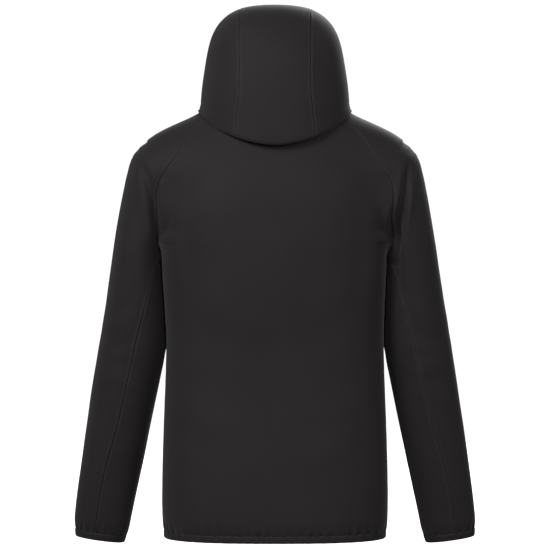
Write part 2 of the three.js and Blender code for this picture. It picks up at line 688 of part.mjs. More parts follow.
function sleevePanel() {
  const start = ridgeStart();
  const rows = [neckRow(RAGLAN_BACK_TURN, RAGLAN_FRONT_TURN, SLEEVE_COLUMNS)];
  for (let j = 1; j <= CHEST_ROWS; j++) {
    const station = sleeveStation(mix(start, UNDERARM_RUN, j / CHEST_ROWS));
    const form = j < CHEST_ROWS ? sleeveSide : armForm;
    rows.push(sleeveRow(form, station, raglanBack[j], raglanFront[j], SLEEVE_COLUMNS));
  }
  const gatherRun = CUFF_RUN - GATHER.rise * 0.7;
  for (let j = 1; j <= ARM_ROWS; j++) {
    rows.push(armRow(mix(UNDERARM_RUN, gatherRun, (j / ARM_ROWS) ** 1.25), SLEEVE_COLUMNS));
  }
  const edge = armRow(CUFF_RUN, SLEEVE_COLUMNS * CUFF_GATHER_SPLIT);
  return openSeams([...rows, ...gatheredRows(rows.at(-1), edge, CUFF_GATHER_SPLIT)]);
}

// A point moved out along a form until it is clear of it.
function lifted(form, p, clear) {
  const out = p.clone();
  for (let i = 0; i < 6; i++) {
    const short = clear - form(out);
    if (short > 0) out.addScaledVector(facing(form, out), short);
  }
  return out;
}

// Hood
const hoodTurns = {
  front: neckRow(ZIP_TURN, RAGLAN_FRONT_TURN, FRONT_COLUMNS),
  side: neckRow(RAGLAN_FRONT_TURN, RAGLAN_BACK_TURN, SLEEVE_COLUMNS),
  back: neckRow(RAGLAN_BACK_TURN, 360 - RAGLAN_BACK_TURN, BACK_COLUMNS),
};
const CROWN_SEAM_COLUMN = BACK_COLUMNS / 4;
const hoodNeck = [
  ...hoodTurns.front, ...hoodTurns.side.slice(1), ...hoodTurns.back.slice(1, CROWN_SEAM_COLUMN + 1),
];
const crownNeck = hoodTurns.back.slice(CROWN_SEAM_COLUMN, BACK_COLUMNS - CROWN_SEAM_COLUMN + 1);

// How far the hood bags out over its seam: not at the zip, fully from the shoulders back.
const bagging = (p) => clamp((abs(THREE.MathUtils.radToDeg(turnOf(p))) - 10) / 45, 0, 1);

// The neck edge of the hood: at the zip it stands on the body's edge, further round it is turned over it.
function neckEdge({ p, n }) {
  const fold = PI * bagging(p);
  const up = vec(0, 0, 1).addScaledVector(n, -n.z).normalize();
  const turned = n.clone().multiplyScalar(cos(fold)).addScaledVector(up, -sin(fold));
  const away = fold < PI / 2 ? up : turned.clone().negate();
  return { p: p.clone().addScaledVector(away, NECK_LAP), n: turned };
}

// The hood's foot, where it bags out furthest, and the folds of the tuck between there and the neck seam.
function hoodFoot(node) {
  const { p } = node;
  const bag = bagging(p);
  const out = vec(p.x, p.y, 0).normalize();
  const reached = exit(hoodForm, vec(0, 0, p.z + 10), out);
  const foot = onForm(hoodForm, bag ? lifted(bodyForm, reached, 7 * bag) : reached);
  const hanging = p.clone().lerp(reached, 0.7);
  hanging.z = p.z - 9;
  const low = p.clone().lerp(reached, 0.5).lerp(hanging, bag);
  const n = out.clone().multiplyScalar(mix(1, 0.55, bag)).add(vec(0, 0, mix(0, -0.83, bag))).normalize();
  const roll = { p: bag ? lifted(bodyForm, low, 3 * bag) : low, n };
  const edge = neckEdge(node);
  const between = edge.p.clone().lerp(roll.p, 0.5);
  const tuck = { p: bag ? lifted(bodyForm, between, 1.6 * bag) : between, n: edge.n.clone().add(n).normalize() };
  return { foot, roll, tuck };
}

// The tuck's rows below a foot row, as fine as the neck seam so that they follow the shoulders.
function tuckRows(neck) {
  const feet = neck.map(hoodFoot);
  return [neck.map(neckEdge), feet.map(({ tuck }) => tuck), feet.map(({ roll }) => roll)];
}

// The crown seam at half width, by the turn in the side view from the nape over the top to the face.
const crownPoint = (x, turn) =>
  exit(hoodForm, vec(x, HOOD_CORE.y, HOOD_CORE.z), vec(0, -cos(turn), sin(turn)));

function sideTurn(p) {
  return atan2(p.z - HOOD_CORE.z, -(p.y - HOOD_CORE.y));
}

function hoodPanels() {
  const footNodes = evenly(hoodNeck.map((node) => node.p), HOOD_COLUMNS).map((p) => hoodFoot(onForm(bodyForm, p)));
  const seamFoot = hoodFoot(hoodNeck.at(-1));
  footNodes[HOOD_COLUMNS] = seamFoot;
  const startTurn = sideTurn(seamFoot.foot.p);
  const faceTop = exit(hoodForm, vec(HOOD_PANEL_HALF, 0, FACE_EDGE.at(-1).z), vec(0, 1, 0));
  const endTurn = sideTurn(faceTop);
  const crownTurn = mix(startTurn, endTurn, 0.62);
  const seamTurns = [
    ...Array.from({ length: HOOD_ROWS + 1 }, (_, i) => mix(startTurn, crownTurn, i / HOOD_ROWS)),
    ...Array.from({ length: HOOD_COLUMNS }, (_, i) => mix(crownTurn, endTurn, (i + 1) / HOOD_COLUMNS)),
  ];
  const seamX = (i) => mix(seamFoot.foot.p.x, HOOD_PANEL_HALF, min(i / 3, 1));
  const seam = seamTurns.map((turn, i) => (i ? crownPoint(seamX(i), turn) : seamFoot.foot.p));
  const right = seam.slice(0, HOOD_ROWS + 1);
  const top = seam.slice(HOOD_ROWS).reverse();

  const faceRun = withRun(FACE_EDGE);
  const faceFine = Array.from({ length: 61 }, (_, i) => {
    const at = across(faceRun, 'run', (faceRun.at(-1).run * i) / 60);
    return exit(hoodForm, vec(at.x, 0, at.z), vec(0, 1, 0));
  });
  const zipFine = Array.from({ length: CHIN_ROWS + 1 }, (_, i) => {
    const z = mix(footNodes[0].foot.p.z, FACE_EDGE[0].z, i / CHIN_ROWS);
    return exit(hoodForm, vec(ZIP_HALF_GAP, 0, z), vec(0, 1, 0));
  });
  const left = [...zipFine, ...evenly(faceFine, HOOD_ROWS - CHIN_ROWS).slice(1)];
  left[0] = footNodes[0].foot.p;
  left[HOOD_ROWS] = seam.at(-1);
  const bottom = footNodes.map(({ foot }) => foot.p);

  const grid = Array.from({ length: HOOD_ROWS + 1 }, (_, r) => {
    const v = r / HOOD_ROWS;
    return Array.from({ length: HOOD_COLUMNS + 1 }, (_, c) => {
      const u = c / HOOD_COLUMNS;
      if (r === 0) return onForm(hoodForm, bottom[c]);
      if (r === HOOD_ROWS) return onForm(hoodForm, top[c]);
      if (c === 0) return onForm(hoodForm, left[r]);
      if (c === HOOD_COLUMNS) return onForm(hoodForm, right[r]);
      const p = bottom[c].clone().multiplyScalar(1 - v).addScaledVector(top[c], v)
        .addScaledVector(left[r], 1 - u).addScaledVector(right[r], u)
        .addScaledVector(bottom[0], -(1 - u) * (1 - v)).addScaledVector(bottom[HOOD_COLUMNS], -u * (1 - v))
        .addScaledVector(top[0], -(1 - u) * v).addScaledVector(top[HOOD_COLUMNS], -u * v);
      return onForm(hoodForm, exit(hoodForm, HOOD_CORE, p.sub(HOOD_CORE)));
    });
  });
  const side = [...tuckRows(hoodNeck), ...grid];

  const crownRow = (turn, half) => Array.from({ length: CROWN_COLUMNS + 1 }, (_, c) =>
    onForm(hoodForm, crownPoint(mix(half, -half, c / CROWN_COLUMNS), turn)));
  const crown = seamTurns.map((turn, i) => {
    const row = crownRow(turn, seam[i].x);
    row[0] = onForm(hoodForm, seam[i]);
    row[CROWN_COLUMNS] = mirrored(row[0]);
    return row;
  });
  const crownFeet = evenly(crownNeck.map((node) => node.p), CROWN_COLUMNS).map((p) => hoodFoot(onForm(bodyForm, p)));
  crownFeet[0] = seamFoot;
  crownFeet[CROWN_COLUMNS] = { foot: mirrored(seamFoot.foot) };
  crown[0] = crownFeet.map(({ foot }) => foot);
  const crownRows = [...tuckRows(crownNeck), ...crown];
  const brow = crown.at(-1);
  const faceSide = left.slice(CHIN_ROWS).map((p) => onForm(hoodForm, p));
  const faceEdge = [...faceSide, ...brow.slice(1, -1), ...[...faceSide].reverse().map(mirrored)];
  return { side: openSeams(side, { top: false }), crown: openSeams(crownRows, { top: false }), faceEdge };
}

// Binding along an edge: rings of its section at each node, away from the cloth by the drop.
const bindingRing = ({ p, n }, away) => BINDING_SECTION.map(({ drop, out }) =>
  p.clone().addScaledVector(away, drop).addScaledVector(n, out));

function hemBinding() {
  const start = turnOf(zipEdgeNode(torsoForm, BODY_BOTTOM).p);
  const ring = hemRow(start, 2 * PI - start, HEM_BINDING_COLUMNS);
  return tapeOf(ring.map((node) => bindingRing(node, vec(0, 0, -1))));
}

function cuffBinding() {
  const row = armRow(CUFF_RUN, CUFF_BINDING_COLUMNS).slice(0, -1);
  const { along } = sleeveStation(CUFF_RUN + BINDING_DROP / 2);
  const pulled = (node) => {
    const flat = node.n.clone().addScaledVector(along, -node.n.dot(along)).normalize();
    return bindingRing({ p: node.p, n: flat }, along.clone().addScaledVector(flat, -0.18));
  };
  return ringOf(row.map(pulled));
}

function faceBinding(edge) {
  return tapeOf(edge.map((node, i) => {
    const end = i === 0 || i === edge.length - 1;
    const along = end ? vec(1, 0, 0) : edge[i + 1].p.clone().sub(edge[i - 1].p);
    const away = along.cross(node.n).normalize();
    return bindingRing(node, away.z < 0 && end ? away.negate() : away);
  }));
}

// The face of the cloth beside the zip, by height: body below the neck seam, hood above it.
function zipFace(x, z) {
  const share = clamp((z - NECK_FRONT_Z) / 10, 0, 1);
  const [body, above] = [bodyForm, hoodForm].map((form) => onForm(form, exit(form, vec(x, 0, z), vec(0, 1, 0))));
  return { p: body.p.lerp(above.p, share), n: body.n.lerp(above.n, share).normalize() };
}

function zipHalf() {
  return tapeOf(Array.from({ length: ZIP_RINGS + 1 }, (_, i) => {
    const z = ZIP_TOP_Z - (ZIP_TOP_Z - HEM_Z) * (1 - cos((PI / 2) * (i / ZIP_RINGS)));
    const opened = clamp((z - ZIP_SPREAD.from) / (ZIP_SPREAD.to - ZIP_SPREAD.from), 0, 1);
    return ZIP_SECTION.map(({ x, deep }) => {
      const { p, n } = zipFace(x < 1 ? mix(x, ZIP_SPREAD.x, opened) : x, z);
      return p.addScaledVector(n, -deep);
    });
  }));
}

// A flat plate in the x-z plane with cut corners, between two depths, and with an eye if one is given.
function plate(half, low, high, cut, from, to, eye) {
  const shape = new THREE.Shape([
    [-half + cut, low], [half - cut, low], [half, low + cut], [half, high - cut],
    [half - cut, high], [-half + cut, high], [-half, high - cut], [-half, low + cut],
  ].map(([x, z]) => new THREE.Vector2(x, z)));
  if (eye) {
    const corners = [[-eye.half, eye.low], [eye.half, eye.low], [eye.half, eye.high], [-eye.half, eye.high]];
    shape.holes.push(new THREE.Path(corners.map(([x, z]) => new THREE.Vector2(x, z))));
  }
  const flat = new THREE.ExtrudeGeometry(shape, { depth: to - from, bevelEnabled: false });
  return flat.rotateX(PI / 2).translate(0, to, 0);
}

const wasm = await Module();
wasm.setup();

function solid(geometry) {
  const plain = new THREE.BufferGeometry().setAttribute('position', geometry.getAttribute('position'));
  const merged = mergeVertices(plain, 1e-4);
  return new wasm.Manifold(new wasm.Mesh({
    numProp: 3,
    vertProperties: merged.attributes.position.array,
    triVerts: new Uint32Array(merged.index.array),
  }));
}

// Several closed geometries joined into one.
function joined(...geometries) {
  const mesh = wasm.Manifold.union(geometries.map(solid)).getMesh();
  const geometry = new THREE.BufferGeometry();
  geometry.setAttribute('position', new THREE.Float32BufferAttribute(mesh.vertProperties, 3));
  geometry.setIndex([...mesh.triVerts]);
  geometry.computeVertexNormals();
  return geometry;
}

function sliderBody() {
  const { half, tall, front: face, back: rear } = SLIDER;
  const bridgeTop = face.to + BRIDGE.gap + BRIDGE.bar;
  return joined(
    plate(half, -tall / 2, tall / 2, 1.6, face.from, face.to),
    plate(half, -tall / 2, tall / 2, 1.6, rear.from, rear.to),
    plate(POST.half, POST.low, POST.high, 0.5, rear.to - 0.5, face.from + 0.5),
    plate(BRIDGE.half, -BRIDGE.tall / 2, BRIDGE.tall / 2, 0.3, bridgeTop - BRIDGE.bar, bridgeTop),
    plate(BRIDGE.half, -BRIDGE.tall / 2, BRIDGE.leg - BRIDGE.tall / 2, 0.2, face.to - 0.5, bridgeTop - 0.4),
    plate(BRIDGE.half, BRIDGE.tall / 2 - BRIDGE.leg, BRIDGE.tall / 2, 0.2, face.to - 0.5, bridgeTop - 0.4),
  );
}

function pullTab() {
  const middle = SLIDER.front.to + BRIDGE.gap / 2;
  const eye = { half: TAB.eye, low: TAB.pivotZ - TAB.eyeEnd, high: TAB.pivotZ - TAB.eyeTop };
  return plate(TAB.half, TAB.pivotZ - TAB.below, TAB.pivotZ + TAB.above, 0.45,
    middle - TAB.thick / 2, middle + TAB.thick / 2, eye);
}

// The slider's frame on the zip: y out from the cloth's face, z up along the zip.
function sliderFrame() {
  const { p, n } = zipFace(0, SLIDER.z);
  const out = vec(0, n.y, n.z).normalize();
  return new THREE.Matrix4().makeBasis(vec(1, 0, 0), out, vec(0, -out.z, out.y)).setPosition(p);
}

const softshell = new THREE.MeshStandardMaterial({ color: CHARCOAL, roughness: 0.78, metalness: 0 });
const elastic = new THREE.MeshStandardMaterial({ color: BLACK, roughness: 0.7, metalness: 0 });
const tape = new THREE.MeshStandardMaterial({ color: BLACK, roughness: 0.6, metalness: 0 });
const metal = new THREE.MeshStandardMaterial({ color: GUNMETAL, roughness: 0.4, metalness: 0.8 });

const jacket = new THREE.Group();

function piece(name, geometry, material, parent = jacket) {
  const mesh = new THREE.Mesh(geometry, material.clone());
  mesh.name = name;
  parent.add(mesh);
  return mesh;
}

// The same closed geometry on the wearer's other side.
function otherSide(geometry) {
  const position = geometry.getAttribute('position').array;
  return closed([...position].map((value, i) => (i % 3 ? value : -value)), [...geometry.index.array]);
}

function pair(name, geometry, material) {
  piece(`${name}_right`, geometry, material);
  piece(`${name}_left`, otherSide(geometry), material);
}

const hood = hoodPanels();
piece('back', wallOf(backPanel()), softshell);
pair('front', wallOf(frontPanel()), softshell);
pair('sleeve', wallOf(sleevePanel()), softshell);
pair('hood_side', wallOf(hood.side), softshell);
piece('hood_crown', wallOf(hood.crown), softshell);
piece('hem_binding', hemBinding(), elastic);
pair('cuff_binding', cuffBinding(), elastic);
piece('face_binding', faceBinding(hood.faceEdge), elastic);
pair('zip', zipHalf(), tape);
const frame = sliderFrame();
piece('zip_slider', sliderBody().applyMatrix4(frame), metal);
piece('zip_pull_tab', pullTab().applyMatrix4(frame), metal);

export default jacket;
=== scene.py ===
"""Looks of the hooded softshell jacket: cloth panels with their seams, folds and gathers,
bindings, zip, light and camera."""
import math

import bmesh
import bpy
import numpy as np
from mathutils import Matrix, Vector


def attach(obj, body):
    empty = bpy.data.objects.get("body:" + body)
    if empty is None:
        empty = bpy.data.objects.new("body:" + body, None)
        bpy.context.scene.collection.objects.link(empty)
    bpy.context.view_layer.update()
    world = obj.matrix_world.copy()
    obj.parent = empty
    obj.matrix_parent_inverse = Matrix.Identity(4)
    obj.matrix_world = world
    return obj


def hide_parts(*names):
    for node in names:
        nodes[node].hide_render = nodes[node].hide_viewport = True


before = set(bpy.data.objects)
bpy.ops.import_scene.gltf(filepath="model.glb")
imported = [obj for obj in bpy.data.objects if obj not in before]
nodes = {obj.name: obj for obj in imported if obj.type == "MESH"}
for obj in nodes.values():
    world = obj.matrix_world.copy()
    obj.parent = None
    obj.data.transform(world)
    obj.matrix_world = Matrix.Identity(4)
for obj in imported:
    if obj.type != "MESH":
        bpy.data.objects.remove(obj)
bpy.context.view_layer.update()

# Photograph: its camera stands behind the jacket, on -Y, and looks along +Y. Lengths are in metres.
CAMERA_AWAY = 4.0
CAMERA_HEIGHT = -0.2625
LENS_MM = 149.6

# From here on, shapes are worked out in millimetres in the part's own frame.
MM = 0.001

# Body, by height: half width, reach behind and reach ahead.
TORSO = np.array([
    # z, half, back, front
    (-760, 186, 117, 119), (-719, 190, 121, 123), (-700, 195, 126, 129), (-670, 197, 128, 131),
    (-600, 196.5, 127, 131), (-520, 194, 123, 129), (-440, 191, 121, 128), (-360, 189, 125, 130),
    (-280, 188, 133, 132), (-232, 189, 136.5, 132), (-200, 192.5, 138, 131), (-140, 199, 137, 126),
    (-90, 184, 130, 117), (-50, 158, 119, 107), (-10, 122, 106, 97), (30, 99, 96, 88), (80, 92, 90, 82),
], float)
TORSO_ROUNDNESS = 2.6

# Sleeve, from neck to cuff: outer outline, width, depth and how far forward its middle lies.
SLEEVE = np.array([
    # x, z, wide, deep, fore
    (40, 50, 100, 120, -6), (104, 28, 108, 126, -6), (149, 12, 121, 134, -7), (187, -5, 130, 142, -8),
    (218, -23, 132, 148, -8), (237.5, -40.5, 130, 151, -7), (250.5, -59, 126, 153, -6),
    (258.5, -84, 121, 154, -5), (264.5, -112, 114, 154, -4), (271, -147, 105, 153, -2),
    (277, -182, 98, 152, 0), (282.5, -217, 98, 150, 2), (290.5, -268, 106, 147, 8),
    (298.5, -320, 113, 142, 14),
    (307.5, -373, 117.5, 135, 19), (316.5, -425, 116.5, 127, 24), (325, -478, 113.5, 119, 29),
    (333, -530, 110.5, 110, 34), (341, -585, 107, 101, 40), (348.5, -638, 103, 92, 46),
    (353.6, -676, 100, 85, 51), (355.5, -700, 97, 79, 53), (353.8, -714, 89, 71, 55), (352, -724, 82, 66, 56),
    (349, -742, 79, 64, 58),
], float)
SLEEVE_ROUNDNESS = 2.15
SLEEVE_CLEAR = 1.8
SLEEVE_PRESS = 4.0

# How softly body and sleeve run into each other, by height.
ARMHOLE_BLEND = np.array([
    # z, soft
    (-260, 1), (-232, 2), (-212, 8), (-170, 15), (-110, 30), (-60, 46), (40, 50),
], float)

# Raglan seams seen from behind and from the front, from the neck down to the underarm, as x, z.
RAGLAN_BACK = [(124, 1), (144, -17), (160, -41), (173, -62), (188, -85), (201, -107), (203, -135),
               (200, -170), (194, -210)]
RAGLAN_FRONT = [(112, -14), (136, -42), (156, -70), (174, -100), (187, -130), (196, -165), (193, -210)]
UNDERARM = np.array([189.3, 0.0, -229.2])

# Sleeve seam seen from behind, as z, x, and the run over which it leaves the underarm.
SLEEVE_SEAM = np.array([(-760, 326), (-705, 316), (-612, 299), (-521, 273), (-439, 254), (-359, 235),
                        (-271, 206), (-232, 196)], float)
SEAM_DRIFT = 18

# How far the hanging sleeves draw the cloth beside the underarms outwards.
DRAWN_LEFT, DRAWN_RIGHT = 8.5, 5.5

# Neck seam.
NECK_FRONT_Z, NECK_SIDE_Z, NECK_BACK_Z = -62, 26, -33
RAGLAN_FRONT_TURN, RAGLAN_BACK_TURN = 62, 122

# Hood.
HOOD_HALF, HOOD_BACK, HOOD_FRONT, HOOD_CHIN_FLARE = 131, 136, 101, 10
HOOD_WIDEST_Z, HOOD_RISE, HOOD_CROWN_POWER, HOOD_ROUNDNESS = 20, 188, 3, 2.3
TEMPLE_Z, TEMPLE_REACH, TEMPLE_SHARE = 112, 55, 0.04
HOOD_CORE = np.array([0.0, -8.0, 70.0])
CROWN_HALF = 61
FACE_EDGE = [(4.8, 4), (30, 7), (58, 20), (76, 44), (85, 75), (87, 110), (83, 143), (74, 168), (61, 184)]

HEM_Z = -719
BINDING_DROP = 10
ZIP_HALF_GAP = 4.5


def across(table, at, key=0):
    """The columns of a table at values of its key column, on a smooth curve through its rows."""
    rows = table[np.argsort(table[:, key])]
    k = rows[:, key]
    last = len(rows) - 1
    at = np.asarray(at, float)
    i = np.clip(np.searchsorted(k, at, side="right") - 1, 0, last - 1)
    before, after = np.maximum(i - 1, 0), np.minimum(i + 2, last)
    span = k[i + 1] - k[i]
    t = np.clip((at - k[i]) / span, 0, 1)[..., None]
    span = span[..., None]
    leave = (rows[i + 1] - rows[before]) / (k[i + 1] - k[before])[..., None] * span
    arrive = (rows[after] - rows[i]) / (k[after] - k[i])[..., None] * span
    return ((2 * t ** 3 - 3 * t ** 2 + 1) * rows[i] + (t ** 3 - 2 * t ** 2 + t) * leave
            + (3 * t ** 2 - 2 * t ** 3) * rows[i + 1] + (t ** 3 - t ** 2) * arrive)


def run_of(path):
    """The length run along a path, up to each of its points."""
    return np.concatenate([[0], np.cumsum(np.linalg.norm(np.diff(path, axis=0), axis=1))])


def with_run(points):
    """A curve's points with the length run so far as a last column."""
    points = np.asarray(points, float)
    return np.column_stack([points, run_of(points[:, :2])])


def section(x, y, half_x, half_y, power):
    return ((np.abs(x) / half_x) ** power + (np.abs(y) / half_y) ** power) ** (1 / power)


def unit(v):
    return v / np.maximum(np.linalg.norm(v, axis=-1, keepdims=True), 1e-12)


def smooth(t, low=0.0, high=1.0):
    t = np.clip((np.asarray(t, float) - low) / (high - low), 0, 1)
    return t * t * (3 - 2 * t)


def mix(a, b, t):
    return a + (b - a) * t


def torso_form(p):
    at = across(TORSO, np.clip(p[..., 2], -760, 80))
    reach = np.where(p[..., 1] < 0, at[..., 2], at[..., 3])
    return (section(p[..., 0], p[..., 1], at[..., 1], reach, TORSO_ROUNDNESS) - 1) * reach


SLEEVE_RUN = with_run(SLEEVE)
SLEEVE_LENGTH = SLEEVE_RUN[-1, 5]


def station(run):
    """The sleeve's cross plane at a run along its outline."""
    at = across(SLEEVE_RUN, run, 5)
    way = min(run, SLEEVE_RUN[-6, 5])
    ahead, behind = across(SLEEVE_RUN, way + 1, 5), across(SLEEVE_RUN, way - 1, 5)
    along = unit(np.array([ahead[0] - behind[0], 0, ahead[1] - behind[1]]))
    out = np.array([-along[2], 0, along[0]])
    core = np.array([at[0], at[4], at[1]]) - out * at[2] / 2
    return {"run": run, "wide": at[2], "deep": at[3], "fore": at[4], "along": along, "out": out, "core": core}


def sleeve_fields():
    """For a grid of the x-z plane: distance to the sleeve's middle line, and the sleeve's sizes there."""
    axis = [station(run) for run in np.linspace(2, SLEEVE_LENGTH - 2, 221)]
    core = np.array([s["core"][[0, 2]] for s in axis])
    sizes = np.array([(s["wide"] / 2, s["deep"] / 2, s["fore"]) for s in axis])
    xs, zs = np.arange(0, 424, 2.0), np.arange(-784, 124, 2.0)
    at = np.stack(np.meshgrid(xs, zs, indexing="ij"), -1).reshape(-1, 2)
    fields = np.zeros((len(at), 4))
    for low in range(0, len(at), 20000):
        block = at[low:low + 20000]
        best = ((block[:, None] - core[None]) ** 2).sum(-1).argmin(1)
        a, b = np.clip(best - 1, 0, 220), np.clip(best + 1, 0, 220)
        d = core[b] - core[a]
        t = np.clip(((block - core[a]) * d).sum(1) / (d * d).sum(1), 0, 1)[:, None]
        fields[low:low + 20000, 0] = np.linalg.norm(block - mix(core[a], core[b], t), axis=1)
        fields[low:low + 20000, 1:] = mix(sizes[a], sizes[b], t)
    return fields.reshape(len(xs), len(zs), 4)


FIELDS = sleeve_fields()


def sleeve_form(p):
    fx = np.clip(np.abs(p[..., 0]) / 2, 0, FIELDS.shape[0] - 1.001)
    fz = np.clip((p[..., 2] + 784) / 2, 0, FIELDS.shape[1] - 1.001)
    i, j = fx.astype(int), fz.astype(int)
    u, v = (fx - i)[..., None], (fz - j)[..., None]
    at = mix(mix(FIELDS[i, j], FIELDS[i + 1, j], u), mix(FIELDS[i, j + 1], FIELDS[i + 1, j + 1], u), v)
    away, half_wide, half_deep, fore = np.moveaxis(at, -1, 0)
    return (section(away, p[..., 1] - fore, half_wide, half_deep, SLEEVE_ROUNDNESS) - 1) * half_wide


def arm_form(p):
    """The sleeve, pressed in where it would touch the body."""
    sleeve, pressed = sleeve_form(p), SLEEVE_CLEAR - torso_form(p)
    near = np.maximum(SLEEVE_PRESS - np.abs(sleeve - pressed), 0) / SLEEVE_PRESS
    return np.maximum(sleeve, pressed) + near * near * SLEEVE_PRESS / 4


def body_form(p):
    """Body and sleeves as one smooth form above the underarm."""
    torso, sleeve = torso_form(p), arm_form(p)
    soft = across(ARMHOLE_BLEND, np.clip(p[..., 2], -260, 40))[..., 1]
    near = np.maximum(soft - np.abs(torso - sleeve), 0) / soft
    return np.minimum(torso, sleeve) - near * near * soft / 4


def sleeve_side(p):
    return np.where(p[..., 2] < -150, np.maximum(body_form(p), UNDERARM[0] - np.abs(p[..., 0])), body_form(p))


def hood_form(p):
    up = np.maximum(p[..., 2] - HOOD_WIDEST_Z, 0) / HOOD_RISE
    half = HOOD_HALF * (1 - TEMPLE_SHARE * np.exp(-((p[..., 2] - TEMPLE_Z) / TEMPLE_REACH) ** 2))
    low = (HOOD_WIDEST_Z - p[..., 2]) / (HOOD_WIDEST_Z - NECK_FRONT_Z)
    chin = HOOD_FRONT + HOOD_CHIN_FLARE * np.clip(low, 0, 1)
    ring = section(p[..., 0], p[..., 1], half, np.where(p[..., 1] < 0, HOOD_BACK, chin), HOOD_ROUNDNESS)
    crown = (ring ** HOOD_CROWN_POWER + up ** HOOD_CROWN_POWER) ** (1 / HOOD_CROWN_POWER)
    return (crown - 1) * HOOD_FRONT


def facing(form, p, step=0.5):
    slope = np.empty(p.shape)
    for axis in range(3):
        d = np.zeros(3)
        d[axis] = step
        slope[..., axis] = form(p + d) - form(p - d)
    return unit(slope)


def cast(form, start, way):
    """Where rays from inside a form first leave it."""
    start, way = np.broadcast_arrays(np.asarray(start, float), unit(np.asarray(way, float)))
    outside = np.full(start.shape[:-1], 8.0)
    for _ in range(90):
        inside = form(start + way * outside[..., None]) < 0
        if not inside.any():
            break
        outside = outside + 8.0 * inside
    low, high = outside - 8.0, outside
    for _ in range(14):
        middle = (low + high) / 2
        inside = form(start + way * middle[..., None]) < 0
        low, high = np.where(inside, middle, low), np.where(inside, high, middle)
    return start + way * high[..., None]


def shown_on(form, x, z, side):
    """Points of a form's back (-1) or front (1), as seen at places x, z."""
    x, z = np.broadcast_arrays(np.asarray(x, float), z)
    return cast(form, np.stack([x, np.zeros(x.shape), z], -1), np.array([0.0, side, 0.0]))


def around(form, z, turn, side=1):
    """Points of a form at heights and turns about its middle, from straight ahead (1) or behind (-1)."""
    z, turn = np.broadcast_arrays(z, turn)
    zero = np.zeros(z.shape)
    return cast(form, np.stack([zero, zero, z], -1), np.stack([np.sin(turn), side * np.cos(turn), zero], -1))


def lifted(form, p, clear):
    for _ in range(6):
        p = p + facing(form, p) * np.maximum(clear - form(p), 0)[..., None]
    return p


def along_curve(path, at):
    """Points of a fine path at shares of its length."""
    run = run_of(path)
    return np.column_stack([np.interp(np.asarray(at) * run[-1], run, path[:, k]) for k in range(3)])


def length_of(path):
    return float(np.linalg.norm(np.diff(path, axis=0), axis=1).sum())


SEAM_STEPS = np.array([0, 0.7, 1.6, 2.8, 4.2, 5.6, 6.6, 7.4, 8.2, 9.4, 11.5, 14.5])


def spaced(count, length, near=(True, True)):
    """Shares of a length for a row of points, closer together beside a seam at either end."""
    low = SEAM_STEPS if near[0] else np.array([0.0])
    high = SEAM_STEPS if near[1] else np.array([0.0])
    if length < 3 * (low[-1] + high[-1]):
        scale = length / (3 * max(low[-1] + high[-1], 1e-6))
        low, high = low * scale, high * scale
    middle = np.linspace(low[-1], length - high[-1], count + 1 - (len(low) - 1) - (len(high) - 1))
    return np.concatenate([low[:-1], middle, (length - high[::-1])[1:]]) / length


def rows_from(fine, count, moved=None):
    """A grid of points: each fine row thinned to one number of columns.

    Across from a seam that moves round, the columns stay in line."""
    shares = [spaced(count, length_of(row)) for row in fine]
    if moved is not None:
        shares = [t - 4 * m * t * (1 - t) for t, m in zip(shares, moved)]
    return np.array([along_curve(row, t) for row, t in zip(fine, shares)])


# Seams and rows of the panels

def neck_point(turn):
    turn = np.asarray(turn, float)
    angle = np.radians(turn)
    low = np.where(np.abs(turn) < 90, NECK_FRONT_Z, NECK_BACK_Z)
    low = np.where(np.abs(turn) > 270, NECK_FRONT_Z, low)
    return around(body_form, mix(NECK_SIDE_Z, low, np.cos(angle) ** 2), angle)


def raglan(table, turn, side):
    neck = neck_point(turn)
    seen = with_run([(neck[0], neck[2]), *table])
    at = across(seen, np.linspace(0, seen[-1, 2], 241), 2)
    fine = shown_on(body_form, at[:, 0], at[:, 1], side)
    fine[0] = neck
    return np.vstack([fine, mix(fine[-1], UNDERARM, np.linspace(0.04, 1, 25)[:, None])])


RAGLAN_BACK_CURVE = raglan(RAGLAN_BACK, RAGLAN_BACK_TURN, -1)
RAGLAN_FRONT_CURVE = raglan(RAGLAN_FRONT, RAGLAN_FRONT_TURN, 1)
ZIP_TURN = math.degrees(math.asin(ZIP_HALF_GAP / 97))
BODY_BOTTOM = HEM_Z + BINDING_DROP
MIRROR = np.array([-1.0, 1.0, 1.0])

CHEST_ROWS, WAIST_ROWS, ARM_ROWS = 92, 148, 156
BACK_COLUMNS, FRONT_COLUMNS, SLEEVE_COLUMNS = 164, 96, 132
FINE = 260


def chest_share():
    return spaced(CHEST_ROWS, length_of(RAGLAN_BACK_CURVE), (True, False))


def even(rows):
    return np.array([along_curve(row, np.linspace(0, 1, FINE)) for row in rows])


def chest_rows(start, end, dip, neck, side, ease):
    """Fine rows of a body panel above the underarm, running into the neck seam at the top.

    Above, a row is cast level with the front or the back; close to the underarm, it turns about the
    middle instead."""
    t = np.linspace(0, 1, FINE)
    share = chest_share()[:, None]
    x = mix(start[:, :1], end[:, :1], ease(t))
    z = mix(start[:, 2:], end[:, 2:], t) + dip * 4 * t * (1 - t)
    top = (1 - smooth(share, 0, 0.45))
    x = x + top * (neck[:, 0] - x[0])
    z = z + top * (neck[:, 2] - z[0])
    level = shown_on(body_form, x, z, side)
    first, last = (np.arctan2(p[:, 0], side * p[:, 1])[:, None] for p in (start, end))
    turn = mix(first, last, t)
    round_it = around(torso_form, z, turn, side)
    for column, held in ((0, start), (-1, end)):
        edge = round_it[:, column][:, None]
        near = np.exp(-(np.linalg.norm(round_it - edge, axis=-1) / 26) ** 2)
        round_it = round_it + near[..., None] * (held[:, None] - edge)
    fine = mix(even(level), even(round_it), smooth(share, 0.74, 0.82)[..., None])
    fine[0] = neck
    fine[:, 0], fine[:, -1] = start, end
    return fine


